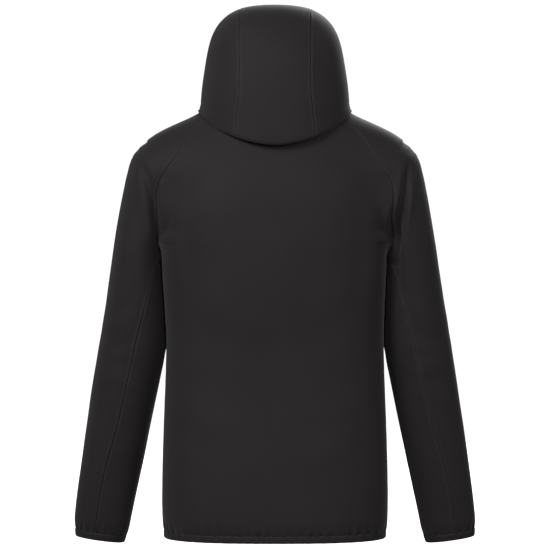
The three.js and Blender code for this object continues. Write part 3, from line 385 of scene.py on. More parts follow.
def waist_rows(from_turn, to_turn):
    share = spaced(WAIST_ROWS, UNDERARM[2] - BODY_BOTTOM, (False, True))
    z = mix(UNDERARM[2], BODY_BOTTOM, share)[1:, None]
    return around(torso_form, z, mix(from_turn, to_turn, np.linspace(0, 1, FINE)))


def back_grid():
    share = chest_share()
    start = along_curve(RAGLAN_BACK_CURVE, share)
    dip = (mix(NECK_BACK_Z, UNDERARM[2], share) - start[:, 2])[:, None]
    neck = neck_point(np.linspace(RAGLAN_BACK_TURN, 360 - RAGLAN_BACK_TURN, FINE))
    chest = chest_rows(start, start * MIRROR, dip, neck, -1, lambda t: (1 - np.cos(math.pi * t)) / 2)
    return rows_from(np.vstack([chest, waist_rows(math.pi / 2, 3 * math.pi / 2)]), BACK_COLUMNS)


def front_grid():
    share = chest_share()
    end = along_curve(RAGLAN_FRONT_CURVE, share)
    heights = mix(NECK_FRONT_Z, UNDERARM[2], share)
    start = shown_on(body_form, ZIP_HALF_GAP, heights, 1)
    neck = neck_point(np.linspace(ZIP_TURN, RAGLAN_FRONT_TURN, FINE))
    start[0], end[0] = neck[0], neck[-1]
    chest = chest_rows(start, end, -8 * (1 - share)[:, None], neck, 1, lambda t: np.sin(math.pi / 2 * t))
    zip_turn = math.atan2(ZIP_HALF_GAP, 129)
    return rows_from(np.vstack([chest, waist_rows(zip_turn, math.pi / 2)]), FRONT_COLUMNS)


def run_through(p, low, high):
    for _ in range(30):
        middle = (low + high) / 2
        s = station(middle)
        low, high = (middle, high) if (p - s["core"]) @ s["along"] > 0 else (low, middle)
    return (low + high) / 2


UNDERARM_RUN = run_through(UNDERARM, 200, 460)
CUFF_RUN = SLEEVE_RUN[-2, 5] - BINDING_DROP


def middle_of(s):
    return np.array([s["core"][0], s["fore"], s["core"][2]])


def turn_in(s, p):
    way = p - middle_of(s)
    return math.atan2(way[1], way @ s["out"]), (way @ s["along"]) / math.hypot(way @ s["out"], way[1])


def seam_turn(s):
    """Where the sleeve seam passes through a cross plane: it leaves the underarm gradually."""
    low, high = -759.0, -233.0
    for _ in range(30):
        middle = (low + high) / 2
        p = np.array([across(SLEEVE_SEAM, middle)[1], 0, middle])
        low, high = (middle, high) if (p - s["core"]) @ s["along"] > 0 else (low, middle)
    start = np.array([across(SLEEVE_SEAM, low)[1], s["fore"], low])
    seen = turn_in(s, cast(arm_form, start, np.array([0.0, -1.0, 0.0])))[0]
    first = UNDERARM_RUN - SEAM_DRIFT / 2
    drifted, begun = smooth([s["run"], UNDERARM_RUN], first, UNDERARM_RUN + SEAM_DRIFT)
    return mix(-math.pi, seen, (drifted - begun) / (1 - begun))


def rays_round(s, a, b):
    """Directions from a cross plane's middle, turning from one seam over the outline to the other."""
    t = np.linspace(0, 1, FINE)[:, None]
    turn = mix(a[0], b[0], t)
    lean = np.where(t < 0.5, a[1], b[1]) * (1 - 2 * np.minimum(t, 1 - t)) ** 1.5
    return s["out"] * np.cos(turn) + np.array([0, 1.0, 0]) * np.sin(turn) + s["along"] * lean


def pressed(p):
    """Slack cloth in front of the underarm, lying along the body so that no light shows past it."""
    x, y, z = p[..., 0], p[..., 1], -p[..., 2]
    slack = smooth(z, 236, 262) * (1 - smooth(z, 350, 405)) * (1 - smooth(x, 214, 250))
    shift = 15 * slack * np.exp(-((y - mix(44, 54, smooth(z, 240, 400))) / 22) ** 2)
    moved = p - shift[..., None] * np.array([1.0, 0, 0])
    return np.where(shift[..., None] > 0.1, lifted(torso_form, moved, 1.4), moved)


def drawn_out(p):
    """Cloth at both sides of the underarm, drawn outwards by the hanging sleeve."""
    x, z = np.abs(p[..., 0]), -p[..., 2]
    shift = np.where(p[..., 0] < 0, DRAWN_LEFT, DRAWN_RIGHT) * smooth(z, 178, 228) * (1 - smooth(z, 236, 400))
    shift = shift * smooth(x, 145, 185) * (1 - smooth(x, 206, 250))
    return p + (np.sign(p[..., 0]) * shift)[..., None] * np.array([1.0, 0, 0])


def sleeve_grid():
    share = chest_share()
    back, front = along_curve(RAGLAN_BACK_CURVE, share), along_curve(RAGLAN_FRONT_CURVE, share)
    ridge = neck_point((RAGLAN_BACK_TURN + RAGLAN_FRONT_TURN) / 2)
    begin = across(SLEEVE_RUN, ridge[0], 0)[5]
    starts, ways = [], []
    for f, p, q in zip(share, back, front):
        s = station(mix(begin, UNDERARM_RUN, f))
        a, b = turn_in(s, p), turn_in(s, q)
        a = (a[0] - 2 * math.pi if a[0] > 0 else a[0], a[1])
        b = (b[0] + 2 * math.pi if b[0] < 0 else b[0], b[1])
        starts.append(np.broadcast_to(middle_of(s), (FINE, 3)))
        ways.append(rays_round(s, a, b))
    starts, ways = np.array(starts), np.array(ways)
    upper = cast(sleeve_side, starts, ways)
    upper[-1] = cast(arm_form, starts[-1], ways[-1])
    neck = neck_point(np.linspace(RAGLAN_BACK_TURN, RAGLAN_FRONT_TURN, FINE))
    top = 1 - smooth(share, 0, 0.45)[:, None, None]
    upper[:-1] = cast(sleeve_side, starts, upper + top * (neck - upper[0]) - starts)[:-1]
    upper[0] = neck
    upper[:, 0], upper[:, -1] = back, front
    starts, ways, moved = [], [], [0.0] * len(upper)
    for run in mix(UNDERARM_RUN, CUFF_RUN, spaced(ARM_ROWS, CUFF_RUN - UNDERARM_RUN, (False, True)))[1:]:
        s = station(run)
        turn = seam_turn(s)
        moved.append(turn / (2 * math.pi) + 0.5)
        starts.append(np.broadcast_to(middle_of(s), (FINE, 3)))
        ways.append(rays_round(s, (turn, 0.0), (turn + 2 * math.pi, 0.0)))
    lower = pressed(cast(arm_form, np.array(starts), np.array(ways)))
    return rows_from(np.vstack([upper, lower]), SLEEVE_COLUMNS, moved=moved)


# Hood

CROWN_TURN = RAGLAN_BACK_TURN + (360 - 2 * RAGLAN_BACK_TURN) / 4
HOOD_ROWS, HOOD_COLUMNS, CROWN_COLUMNS, TUCK_ROWS, CHIN_ROWS = 120, 96, 56, 24, 30


def bagging(p):
    return np.clip((np.abs(np.degrees(np.arctan2(p[..., 0], p[..., 1]))) - 10) / 45, 0, 1)


def tuck(p):
    """From the neck seam down and out to the hood's foot: one fine row for each step of the tuck."""
    n = facing(body_form, p)
    bag = bagging(p)[:, None]
    flat = p * np.array([1, 1, 0])
    out = unit(flat)
    lift = p[:, 2:] * np.array([0, 0, 1]) + np.array([0, 0, 10])
    reached = cast(hood_form, lift, out)
    foot = np.where(bag > 0, lifted(body_form, reached, 7 * bag[:, 0]), reached)
    hanging = mix(p, reached, 0.7)
    hanging[:, 2] = p[:, 2] - 9
    low = mix(mix(p, reached, 0.5), hanging, bag)
    roll = np.where(bag > 0, lifted(body_form, low, 3 * bag[:, 0]), low)
    fold = math.pi * bag
    up = unit(np.array([0, 0, 1.0]) - n * n[:, 2:])
    turned = n * np.cos(fold) - up * np.sin(fold)
    edge = p + 0.35 * np.where(fold < math.pi / 2, up, -turned)
    inner = mix(edge, roll, 0.5)
    inner = np.where(bag > 0, lifted(body_form, inner, 1.6 * bag[:, 0]), inner)
    hung = mix(p, reached, 0.96)
    hung[:, 2] = p[:, 2] - 6.5
    hem = mix(mix(roll, foot, 0.5), hung, bag)
    hem = np.where(bag > 0, lifted(body_form, hem, 3.4 * bag[:, 0]), hem)
    return edge, inner, roll, hem, foot


def tuck_rows(p, above):
    """Rows from the neck seam to the hood's foot, in one soft curve that runs on into the row above."""
    knots = np.array([*tuck(p), above])
    at = np.linspace(0, 4, TUCK_ROWS + 1)[:-1]
    table = np.column_stack([np.arange(6.0), knots.reshape(6, -1)])
    return across(table, at)[:, 1:].reshape(TUCK_ROWS, -1, 3)


def crown_point(x, turn):
    start = np.stack([x, np.full_like(x, HOOD_CORE[1]), np.full_like(x, HOOD_CORE[2])], -1)
    return cast(hood_form, start, np.stack([np.zeros_like(turn), -np.cos(turn), np.sin(turn)], -1))


def side_turn(p):
    return math.atan2(p[2] - HOOD_CORE[2], -(p[1] - HOOD_CORE[1]))


def hood_seam():
    """The crown seam from the nape over the top to the brow, and the turns of its ends."""
    foot = tuck(neck_point([CROWN_TURN]))[-1][0]
    brow = shown_on(hood_form, CROWN_HALF, FACE_EDGE[-1][1], 1)
    turn = np.linspace(side_turn(foot), side_turn(brow), 400)
    x = mix(foot[0], CROWN_HALF, np.clip(np.linspace(0, 19, 400) / 3, 0, 1))
    curve = crown_point(x, turn)
    curve[0] = foot
    return curve, turn, x


HOOD_SEAM, HOOD_TURNS, HOOD_SEAM_X = hood_seam()


def hood_side_grid():
    corner = 0.62
    right = along_curve(HOOD_SEAM[:int(400 * corner)], spaced(HOOD_ROWS, 400))
    top = along_curve(HOOD_SEAM[int(400 * corner) - 1:][::-1], spaced(HOOD_COLUMNS, 260))
    neck = neck_point(np.linspace(ZIP_TURN, CROWN_TURN, 400))
    neck = along_curve(neck, spaced(HOOD_COLUMNS, length_of(neck)))
    bottom = tuck(neck)[-1]
    bottom[-1] = HOOD_SEAM[0]
    face = with_run(FACE_EDGE)
    face = across(face, np.linspace(0, face[-1, 2], 200), 2)
    face = shown_on(hood_form, face[:, 0], face[:, 1], 1)
    chin = shown_on(hood_form, ZIP_HALF_GAP, np.linspace(bottom[0, 2], FACE_EDGE[0][1], 40), 1)
    left = np.vstack([along_curve(chin, np.linspace(0, 1, CHIN_ROWS + 1)),
                      along_curve(face, np.linspace(0, 1, HOOD_ROWS - CHIN_ROWS + 1))[1:]])
    left[0], left[-1] = bottom[0], top[0]
    v = np.linspace(0, 1, HOOD_ROWS + 1)[:, None, None]
    u = np.linspace(0, 1, HOOD_COLUMNS + 1)[None, :, None]
    corners = mix(mix(left[0], right[0], u), mix(left[-1], right[-1], u), v)
    grid = mix(bottom[None], top[None], v) + mix(left[:, None], right[:, None], u) - corners
    shell = cast(hood_form, HOOD_CORE, grid - HOOD_CORE)
    shell[0], shell[-1], shell[:, 0], shell[:, -1] = bottom, top, left, right
    return np.vstack([tuck_rows(neck, shell[2]), shell]), left[CHIN_ROWS:]


def crown_grid():
    share = spaced(HOOD_ROWS + 60, length_of(HOOD_SEAM), (True, False))
    run = run_of(HOOD_SEAM)
    turn = np.interp(share * run[-1], run, HOOD_TURNS)
    half = np.interp(share * run[-1], run, HOOD_SEAM_X)
    across_it = 1 - 2 * spaced(CROWN_COLUMNS, 2 * CROWN_HALF)
    x = half[:, None] * across_it
    shell = crown_point(x, np.broadcast_to(turn[:, None], x.shape))
    neck = neck_point(np.linspace(CROWN_TURN, 360 - CROWN_TURN, 200))
    neck = along_curve(neck, spaced(CROWN_COLUMNS, length_of(neck)))
    foot = tuck(neck)[-1]
    ease = (1 - smooth(share, 0, 0.08))[:, None, None]
    shell = shell + ease * (foot - shell[0])
    shell = cast(hood_form, HOOD_CORE, shell - HOOD_CORE)
    shell[0] = foot
    return np.vstack([tuck_rows(neck, shell[2]), shell])


# Relief of the cloth, in millimetres along its normal

NEAR_COLUMNS = 26
GATHER_DEEP = 2.2
STITCH_AWAY = 2.9
FOLD_DEEP_LEFT, FOLD_DEEP_RIGHT = 7.0, 14.0
GATHERS_BACK, GATHERS_FRONT, GATHERS_CUFF = 30, 15, 18

# Cloth filled out beside the underarms, and levelled over a dent and a bulge of the plain form.
FILLED_OUT, LEVELLED = 9.0, 5.2
DENT_DOWN, BULGE_DOWN = 186, 207


def along_edge(grid, edge):
    """The grid turned so that the edge is its first column."""
    return {"left": grid, "right": grid[:, ::-1], "top": np.swapaxes(grid, 0, 1)}[edge]


def edge_distance(grid, edge):
    """How far each point lies from one edge of its panel, near that edge."""
    turned = along_edge(grid, edge)
    line, near = turned[:, 0], turned[:, :NEAR_COLUMNS]
    rows = np.arange(len(line))
    best = np.full(near.shape[:2], 999.0)
    for shift in range(-24, 24):
        a = line[np.clip(rows + shift, 0, len(line) - 1)][:, None]
        b = line[np.clip(rows + shift + 1, 0, len(line) - 1)][:, None]
        d = b - a
        t = np.clip(((near - a) * d).sum(-1) / np.maximum((d * d).sum(-1), 1e-9), 0, 1)
        best = np.minimum(best, np.linalg.norm(near - a - d * t[..., None], axis=-1))
    far = np.full(grid.shape[:2], 999.0)
    along_edge(far, edge)[:, :NEAR_COLUMNS] = best
    return far


def seam_band(d):
    """The narrow band of seam allowance beside a seam, 1 where it lies under the cloth."""
    return smooth(d, 0.6, 1.7) - smooth(d, 3.5, 5.2)


def seam_relief(d, band):
    """Cloth drawn into a seam, lifted over its allowance, and sunk along the topstitching."""
    drawn = -1.1 * np.exp(-(d / 1.05) ** 2)
    stitched = -0.35 * np.exp(-((d - STITCH_AWAY) / 0.7) ** 2)
    return drawn + band * (0.7 * seam_band(d) + stitched)


def folded(grid):
    """Where the lower raglan seams lie in their fold, from 0 to 1."""
    x, z = np.abs(grid[..., 0]), -grid[..., 2]
    begun = np.where(grid[..., 0] < 0, smooth(z, 66, 140), smooth(z, 140, 205))
    return begun * (1 - smooth(z, 190, 230)) * smooth(x, 60, 110)


def filled_out(grid, d):
    """Body cloth beside the fold, kept nearly flat up to its edge."""
    x, y, z = np.abs(grid[..., 0]), np.abs(grid[..., 1]), -grid[..., 2]
    beside = FILLED_OUT * smooth(x, 138, 178) * smooth(z, 115, 185) * (1 - smooth(z, 245, 350))
    level = np.exp(-((z - DENT_DOWN) / 9) ** 2) - np.exp(-((z - BULGE_DOWN) / 9) ** 2)
    level = LEVELLED * level * np.clip((x - 166) / 20, 0, 1.25) * (grid[..., 1] > 0)
    push = np.sign(grid[..., 1]) * (beside + level) * smooth(y, 2, 30) * (1 - np.exp(-(d / 5.0) ** 2))
    return push[..., None] * np.array([0, 1.0, 0])


def fold_relief(grid, d, width):
    """The deep fold down the lower raglan seams, where cloth hangs from the shoulder past the underarm."""
    deep = np.where(grid[..., 0] < 0, FOLD_DEEP_LEFT, FOLD_DEEP_RIGHT)
    return -deep * folded(grid) * np.exp(-(d / width) ** 2)


def wander(p, size, seed):
    """A slow uneven wave over the cloth, from about -1 to 1."""
    q = p / size + seed * np.array([1.7, 2.9, 4.3])
    return (np.sin(q[..., 0] * 2.1 + 1.3 * np.sin(q[..., 2] * 1.3))
            + np.sin(q[..., 2] * 1.7 + 1.1 * np.sin(q[..., 0] * 1.9 + 2))
            + np.sin(q[..., 1] * 2.3 + 1.2 * np.sin(q[..., 2] * 0.9 + 1))) / 3


def path_distance(p, path):
    """Distance to a line of points, and the share of the line's length at the nearest place."""
    best = np.full(p.shape[:-1], 999.0)
    where = np.zeros(p.shape[:-1])
    for k in range(len(path) - 1):
        d = path[k + 1] - path[k]
        t = np.clip(((p - path[k]) @ d) / max(d @ d, 1e-9), 0, 1)
        away = np.linalg.norm(p - path[k] - t[..., None] * d, axis=-1)
        closer = away < best
        best = np.where(closer, away, best)
        where = np.where(closer, (k + t) / (len(path) - 1), where)
    return best, where


def crease_relief(p, form, crease):
    """One soft fold: a ridge or trough along a line seen from behind (-1) or the front (1)."""
    side, line, width, height = crease
    path = shown_on(form, *np.array(line, float).T, side)
    table = np.column_stack([np.arange(len(path)), path])
    path = across(table, np.linspace(0, len(path) - 1, 6 * len(path)))[:, 1:]
    d, where = path_distance(p, path)
    fade = np.sin(math.pi * np.clip(where, 0.02, 0.98)) ** 0.6
    return height * fade * (np.exp(-(d / width) ** 2) - 0.35 * np.exp(-((d - 1.9 * width) / width) ** 2))


def turns(t):
    """A sine wave over whole turns."""
    return np.sin(2 * math.pi * t)


def gather_relief(grid, count, seed, quiet=0):
    """Small uneven gathers above an elastic binding; none beside the zip."""
    run = run_of(grid[-1])
    u = run / run[-1]
    drift = 0.32 * turns(u * 3.1 + seed) + 0.22 * turns(u * 7.3 + 2.3 * seed)
    wave = 1.04 * np.cos(2 * math.pi * u * count + drift * 1.6) - 0.5
    strength = 0.72 + 0.28 * turns(u * 5.7 + seed) + 0.16 * turns(u * 13.1 + seed)
    rise = 24 + 8 * turns(u * 4.3 + 1.7 * seed) + 5 * turns(u * 11.9 + seed)
    away = np.cumsum(np.linalg.norm(np.diff(grid[::-1], axis=0), axis=-1), axis=0)[::-1]
    away = np.vstack([away, 0 * away[:1]])
    level = (1 - smooth(away / rise, 0.0, 1.0)) * smooth(away, -6, 3)
    calm = smooth(run, 0, quiet) if quiet else 1.0
    return GATHER_DEEP * wave * strength * level * calm


def normals_of(grid, turned=1):
    ahead = np.gradient(grid, axis=1)
    down = np.gradient(grid, axis=0)
    return turned * unit(np.cross(down, ahead))


def turned_out(grid, form):
    """1 where a grid's rows and columns already face out, and -1 where they face in."""
    i, j = grid.shape[0] // 2, grid.shape[1] // 2
    return 1 if normals_of(grid)[i, j] @ facing(form, grid[i, j]) > 0 else -1


def grid_faces(rows, columns, first, flip):
    i, j = np.meshgrid(np.arange(rows - 1), np.arange(columns - 1), indexing="ij")
    a = first + i * columns + j
    quads = np.stack([a, a + columns, a + columns + 1, a + 1], -1).reshape(-1, 4)
    return quads[:, ::-1] if flip else quads


def shell_of(name, outer, wall, turned=1):
    """A closed thin shell: the fine outer face, an inner face half as fine, and a rim between them."""
    inner = (outer - normals_of(outer, turned) * wall)[::2, ::2]
    faces, rims, first = [], [], 0
    for grid, flip in ((outer, turned < 0), (inner, turned > 0)):
        rows, columns = grid.shape[:2]
        faces += [tuple(q) for q in grid_faces(rows, columns, first, flip)]
        at = first + np.arange(rows * columns).reshape(rows, columns)
        rims.append(np.concatenate([at[0, :-1], at[:-1, -1], at[-1, :0:-1], at[:0:-1, 0]]))
        first = rows * columns
    rim_outer, rim_inner = rims
    count = len(rim_inner)
    for k in range(count):
        a, b = rim_inner[k], rim_inner[(k + 1) % count]
        p, q, r = rim_outer[2 * k], rim_outer[2 * k + 1], rim_outer[(2 * k + 2) % (2 * count)]
        rim = [(p, q, a), (q, b, a), (q, r, b)]
        faces += [f[::-1] for f in rim] if turned > 0 else rim
    return mesh_of(name, np.vstack([outer.reshape(-1, 3), inner.reshape(-1, 3)]), faces)


def mesh_of(name, points, faces):
    """A new piece from points in millimetres, with its place in its mesh."""
    mesh = bpy.data.meshes.new(name)
    mesh.from_pydata([tuple(p) for p in points * MM], [], faces)
    mesh.validate()
    mesh.update()
    mesh.shade_smooth()
    piece = bpy.data.objects.new(name, mesh)
    bpy.context.scene.collection.objects.link(piece)
    return piece


# Cloth panels

WALL = 1.7
shells = {}
stitch_lines = []


def stitched_at(outer, n, distances):
    """Where topstitching runs beside an edge: one point for each row where the cloth passes it."""
    points = []
    for row, ways, d in zip(outer, n, distances):
        inside = np.argmax(d >= STITCH_AWAY)
        if inside == 0 or d[inside] > 900:
            continue
        t = (STITCH_AWAY - d[inside - 1]) / max(d[inside] - d[inside - 1], 1e-6)
        p = mix(row[inside - 1], row[inside], t)
        m = unit(mix(ways[inside - 1], ways[inside], t))
        points.append(np.concatenate([p + m * 0.1, m]))
    return np.array(points)


def cloth_panel(name, grid, form, seams, creases=(), gathers=0, seed=0.0, quiet=0, calm=0.0, fold=0.0):
    """A panel of softshell: its plain form, lifted and sunk by seams, folds, gathers and its hang, with a
    painted highlight marked over its seam allowances.
    """
    turned = turned_out(grid, form)
    n = normals_of(grid, turned)
    relief = np.zeros(grid.shape[:2])
    # Painted highlight: where the cloth's colour is made lighter over its seam allowances.
    seam_highlight = np.zeros(grid.shape[:2])
    nearest = np.full(grid.shape[:2], 999.0)
    lines = []
    for edge, band in seams.items():
        d = edge_distance(grid, edge)
        nearest = np.minimum(nearest, d)
        share = band * (1 - 0.5 * (1 - smooth(-grid[..., 2], 200, 260)) * (form is not hood_form))
        relief += seam_relief(d, share)
        # The painted highlight covers the seam allowance band. It mostly fades where the seam lies in the
        # fold, which is in shade.
        seam_highlight = np.maximum(seam_highlight, share * seam_band(d) * (1 - 0.8 * folded(grid)))
        if band:
            lines.append((edge, d))
    for crease in creases:
        relief += crease_relief(grid, form, crease)
    if gathers:
        relief += gather_relief(grid, gathers, seed, quiet)
    filled = filled_out(grid, nearest) if form is body_form else 0.0
    sunk = fold_relief(grid, nearest, fold)[..., None] * facing(body_form, grid) if fold else 0.0
    hang = 0.5 * wander(grid, 62.0, seed + 0.3) + 0.25 * wander(grid, 27.0, seed + 1.9)
    relief += (1 - calm) * hang * smooth(nearest, 0, 30)
    relief += 0.22 * wander(grid, 9.0, seed + 3.1) * np.exp(-((nearest - 9) / 7) ** 2)
    outer = grid + n * relief[..., None] + sunk + filled
    shells[name] = shell_of(name, outer, WALL, turned)
    # The painted seam highlight goes to the shell as a point attribute that the cloth's material reads.
    marked = shells[name].data.attributes.new("seam_highlight", "FLOAT", "POINT")
    marked.data.foreach_set("value", np.pad(seam_highlight.ravel(), (0, len(marked.data) - seam_highlight.size)))
    shown = normals_of(outer, turned)
    for edge, d in lines:
        line = stitched_at(*(along_edge(values, edge) for values in (outer, shown, d)))
        if len(line) > 3:
            stitch_lines.append((name, line))
    return outer


BACK_CREASES = [
    (-1, [(-120, -300), (-60, -345), (20, -352)], 22, 0.9),
    (-1, [(130, -330), (70, -372), (-10, -386)], 24, -0.8),
    (-1, [(-150, -480), (-95, -520), (-30, -532)], 24, 0.8),
    (-1, [(148, -520), (100, -560), (30, -580)], 22, 0.8),
]
FRONT_RIGHT_CREASES = [
    (1, [(160, -300), (110, -345), (50, -362)], 22, 0.9),
    (1, [(158, -520), (110, -560), (44, -575)], 22, 0.8),
]
FRONT_LEFT_CREASES = [
    (1, [(-160, -330), (-112, -372), (-48, -384)], 22, -0.8),
    (1, [(-156, -486), (-104, -530), (-40, -548)], 22, 0.9),
]
SLEEVE_RIGHT_CREASES = [
    (-1, [(231, -70), (226, -98), (222, -131), (216, -166), (209, -201), (203, -240)], 6.5, -9.5),
    (-1, [(215, -160), (208, -200), (206, -245), (210, -300)], 10, -6.0),
    (-1, [(230, -300), (262, -330), (300, -336)], 13, 1.3),
    (-1, [(224, -352), (268, -372), (306, -366)], 12, -1.2),
    (-1, [(232, -440), (276, -420), (312, -430)], 13, 1.1),
    (1, [(232, -330), (262, -352), (300, -346)], 12, 1.5),
    (1, [(228, -376), (268, -388), (306, -380)], 12, -1.4),
    (1, [(218, -90), (214, -150), (206, -210)], 13, -1.8),
]
SLEEVE_LEFT_CREASES = [
    (-1, [(-232, -64), (-220, -95), (-211, -130), (-206, -165), (-202, -204)], 6, -3.4),
    (-1, [(-240, -86), (-228, -130), (-219, -184)], 11, 2.2),
    (-1, [(-228, -318), (-262, -342), (-302, -340)], 13, 1.2),
    (-1, [(-232, -372), (-270, -384), (-308, -372)], 12, -1.1),
    (-1, [(-238, -462), (-280, -438), (-314, -444)], 13, 1.0),
    (1, [(-230, -340), (-264, -360), (-302, -352)], 12, 1.4),
    (1, [(-232, -392), (-270, -402), (-306, -392)], 12, -1.3),
    (1, [(-218, -96), (-214, -156), (-206, -212)], 13, -1.8),
]

back = drawn_out(back_grid())
front = front_grid()
sleeve = sleeve_grid()
hood_side, face_edge = hood_side_grid()
crown = crown_grid()

BODY_SEAMS, FRONT_SEAMS = {"left": 1, "right": 1, "top": 0}, {"left": 0, "right": 1, "top": 0}

cloth_panel("back_cloth", back, body_form, BODY_SEAMS, BACK_CREASES, GATHERS_BACK, 0.13, fold=3.6)
cloth_panel("front_right_cloth", drawn_out(front), body_form, FRONT_SEAMS,
            FRONT_RIGHT_CREASES, GATHERS_FRONT, 0.41, 26, fold=5.0)
cloth_panel("front_left_cloth", drawn_out(front * MIRROR), body_form, FRONT_SEAMS,
            FRONT_LEFT_CREASES, GATHERS_FRONT, 0.77, 26, fold=5.0)
cloth_panel("sleeve_right_cloth", drawn_out(sleeve), sleeve_side, BODY_SEAMS,
            SLEEVE_RIGHT_CREASES, GATHERS_CUFF, 0.29, fold=18.0)
cloth_panel("sleeve_left_cloth", drawn_out(sleeve * MIRROR), sleeve_side, BODY_SEAMS,
            SLEEVE_LEFT_CREASES, GATHERS_CUFF, 0.61, fold=11.0)
cloth_panel("hood_side_right_cloth", hood_side, hood_form, {"right": 1}, calm=0.4, seed=0.2)
cloth_panel("hood_side_left_cloth", hood_side * MIRROR, hood_form, {"right": 1}, calm=0.4, seed=0.7)
cloth_panel("hood_crown_cloth", crown, hood_form, {"left": 1, "right": 1}, calm=0.4, seed=0.5)


# Elastic bindings, folded over the cloth's edges

# Section of a binding: how far past the edge and how far out each corner lies.
BINDING = [(-2.5, 0.6), (-2.2, 1.25), (0.0, 1.5), (3.0, 1.45), (6.4, 1.4), (8.6, 1.2), (9.7, 0.5),
           (10.0, -0.5), (9.6, -1.6), (8.4, -2.35), (5.0, -2.6), (1.0, -2.6), (-1.6, -2.5), (-1.8, -2.0),
           (5.0, -1.9), (8.0, -1.7), (9.0, -0.8), (8.6, 0.1), (7.6, 0.5), (3.0, 0.6)]


def ring_faces(rings, across_it, closed):
    """Faces of a tube of rings, with flat ends where it isn't closed."""
    faces = []
    for k in range(rings if closed else rings - 1):
        for m in range(across_it):
            a, b = k * across_it + m, k * across_it + (m + 1) % across_it
            c, d = (k + 1) % rings * across_it + (m + 1) % across_it, (k + 1) % rings * across_it + m
            faces.append((a, b, c, d))
    if not closed:
        last = (rings - 1) * across_it
        faces += [tuple(range(across_it))[::-1], tuple(range(last, last + across_it))]
    return faces


def facing_out(piece):
    edit = bmesh.new()
    edit.from_mesh(piece.data)
    bmesh.ops.recalc_face_normals(edit, faces=edit.faces)
    edit.to_mesh(piece.data)
    edit.free()
    return piece


def binding(name, path, out, away, closed, seed):
    """An elastic band along an edge, with the small ribs that its stitching and the gathers press into it."""
    run = run_of(path)
    ripple = 0.28 * np.sin(run / 2.9 + 1.4 * np.sin(run / 13 + seed)) + 0.18 * np.sin(run / 6.7 + seed)
    drops, outs = np.array(BINDING).T
    shown = (outs > 0.3) * (1 - 0.5 * (drops > 8))
    rings = (path[:, None] + away[:, None] * drops[None, :, None]
             + out[:, None] * (outs[None, :, None] + ripple[:, None, None] * shown[None, :, None]))
    piece = mesh_of(name, rings.reshape(-1, 3), ring_faces(len(path), len(BINDING), closed))
    shells[name] = facing_out(piece)
    stitched = path + away * 1.6 + out * (1.6 + ripple[:, None])
    stitch_lines.append((name, np.hstack([stitched, out])))


def hem_path():
    start = math.atan2(ZIP_HALF_GAP, 129)
    path = around(torso_form, float(BODY_BOTTOM), np.linspace(start, 2 * math.pi - start, 900))
    path = along_curve(path, np.linspace(0, 1, 481))
    return path, facing(torso_form, path), np.broadcast_to(np.array([0.0, 0.0, -1.0]), path.shape)


def cuff_path():
    s = station(CUFF_RUN)
    turn = np.linspace(0, 2 * math.pi, 400)[:, None]
    ways = s["out"] * np.cos(turn) + np.array([0, 1.0, 0]) * np.sin(turn)
    path = cast(arm_form, np.broadcast_to(middle_of(s), ways.shape), ways)
    path = along_curve(path, np.linspace(0, 1, 169))[:-1]
    along = station(CUFF_RUN + BINDING_DROP / 2)["along"]
    n = facing(arm_form, path)
    n = unit(n - (n @ along)[:, None] * along)
    return path, n, along - 0.18 * n


def face_path():
    right = face_edge[:-1]
    path = np.vstack([right, crown[-1], (right * MIRROR)[::-1]])
    path = along_curve(path, np.linspace(0, 1, 401))
    n = facing(hood_form, path)
    return path, n, unit(np.cross(unit(np.gradient(path, axis=0)), n))


binding("hem_binding_band", *hem_path(), False, 0.4)
cuff_line, cuff_out, cuff_away = cuff_path()
binding("cuff_binding_right_band", cuff_line, cuff_out, cuff_away, True, 1.3)
binding("cuff_binding_left_band", cuff_line * MIRROR, cuff_out * MIRROR, cuff_away * MIRROR, True, 2.2)
binding("face_binding_band", *face_path(), False, 3.1)


# Zip: two tapes, their moulded teeth, the slider and its pull tab

ZIP_TOP_Z = 13
ZIP_SPREAD = (-1, 2)
TOOTH_PITCH = 3.0
SLIDER_Z = 2


def zip_face(x, z):
    share = np.clip((z - NECK_FRONT_Z) / 10, 0, 1)[:, None]
    body, above = shown_on(body_form, x, z, 1), shown_on(hood_form, x, z, 1)
    return mix(body, above, share), unit(mix(facing(body_form, body), facing(hood_form, above), share))


def zip_opened(z):
    """How far the zip's halves part at a height, above the slider's middle, from 0 to 1."""
    return np.clip((z - ZIP_SPREAD[0]) / (ZIP_SPREAD[1] - ZIP_SPREAD[0]), 0, 1)


def zip_tape(name, side):
    """One tape with its corded edge: rings of its section down the front."""
    z = np.linspace(ZIP_TOP_Z, HEM_Z, 245)
    opened = zip_opened(z)
    profile = [(0.35, -2.75), (1.1, -2.5), (1.9, -2.0), (2.4, -1.55), (3.2, -1.9), (4.0, -2.6), (7.0, -2.85),
               (11.9, -2.9), (12.0, -3.5), (7.0, -3.5), (3.4, -3.5), (2.3, -3.4), (0.4, -3.2)]
    rings = []
    for x, out in profile:
        at, n = zip_face(x + opened * 0.8, z)
        rings.append(at + n * out)
    rings = np.stack(rings, 1)
    rings[..., 0] *= side
    piece = mesh_of(name, rings.reshape(-1, 3), ring_faces(len(z), len(profile), False))
    shells[name] = facing_out(piece)


def primitive_done(name):
    """The primitive just added and shaped, with its place taken into its mesh."""
    piece = bpy.context.object
    bpy.ops.object.transform_apply(location=True, rotation=True, scale=True)
    piece.name = name
    piece.data.name = name
    return piece


def bevelled(width, segments):
    bpy.ops.object.mode_set(mode="EDIT")
    bpy.ops.mesh.select_all(action="SELECT")
    bpy.ops.mesh.bevel(offset=width, segments=segments, affect="EDGES")
    bpy.ops.object.mode_set(mode="OBJECT")


def shape_of(piece):
    """A model's points in millimetres and its faces, after which the model itself is put away."""
    points = np.array([v.co[:] for v in piece.data.vertices]) / MM
    faces = [tuple(f.vertices) for f in piece.data.polygons]
    mesh = piece.data
    bpy.data.objects.remove(piece)
    bpy.data.meshes.remove(mesh)
    return points, faces


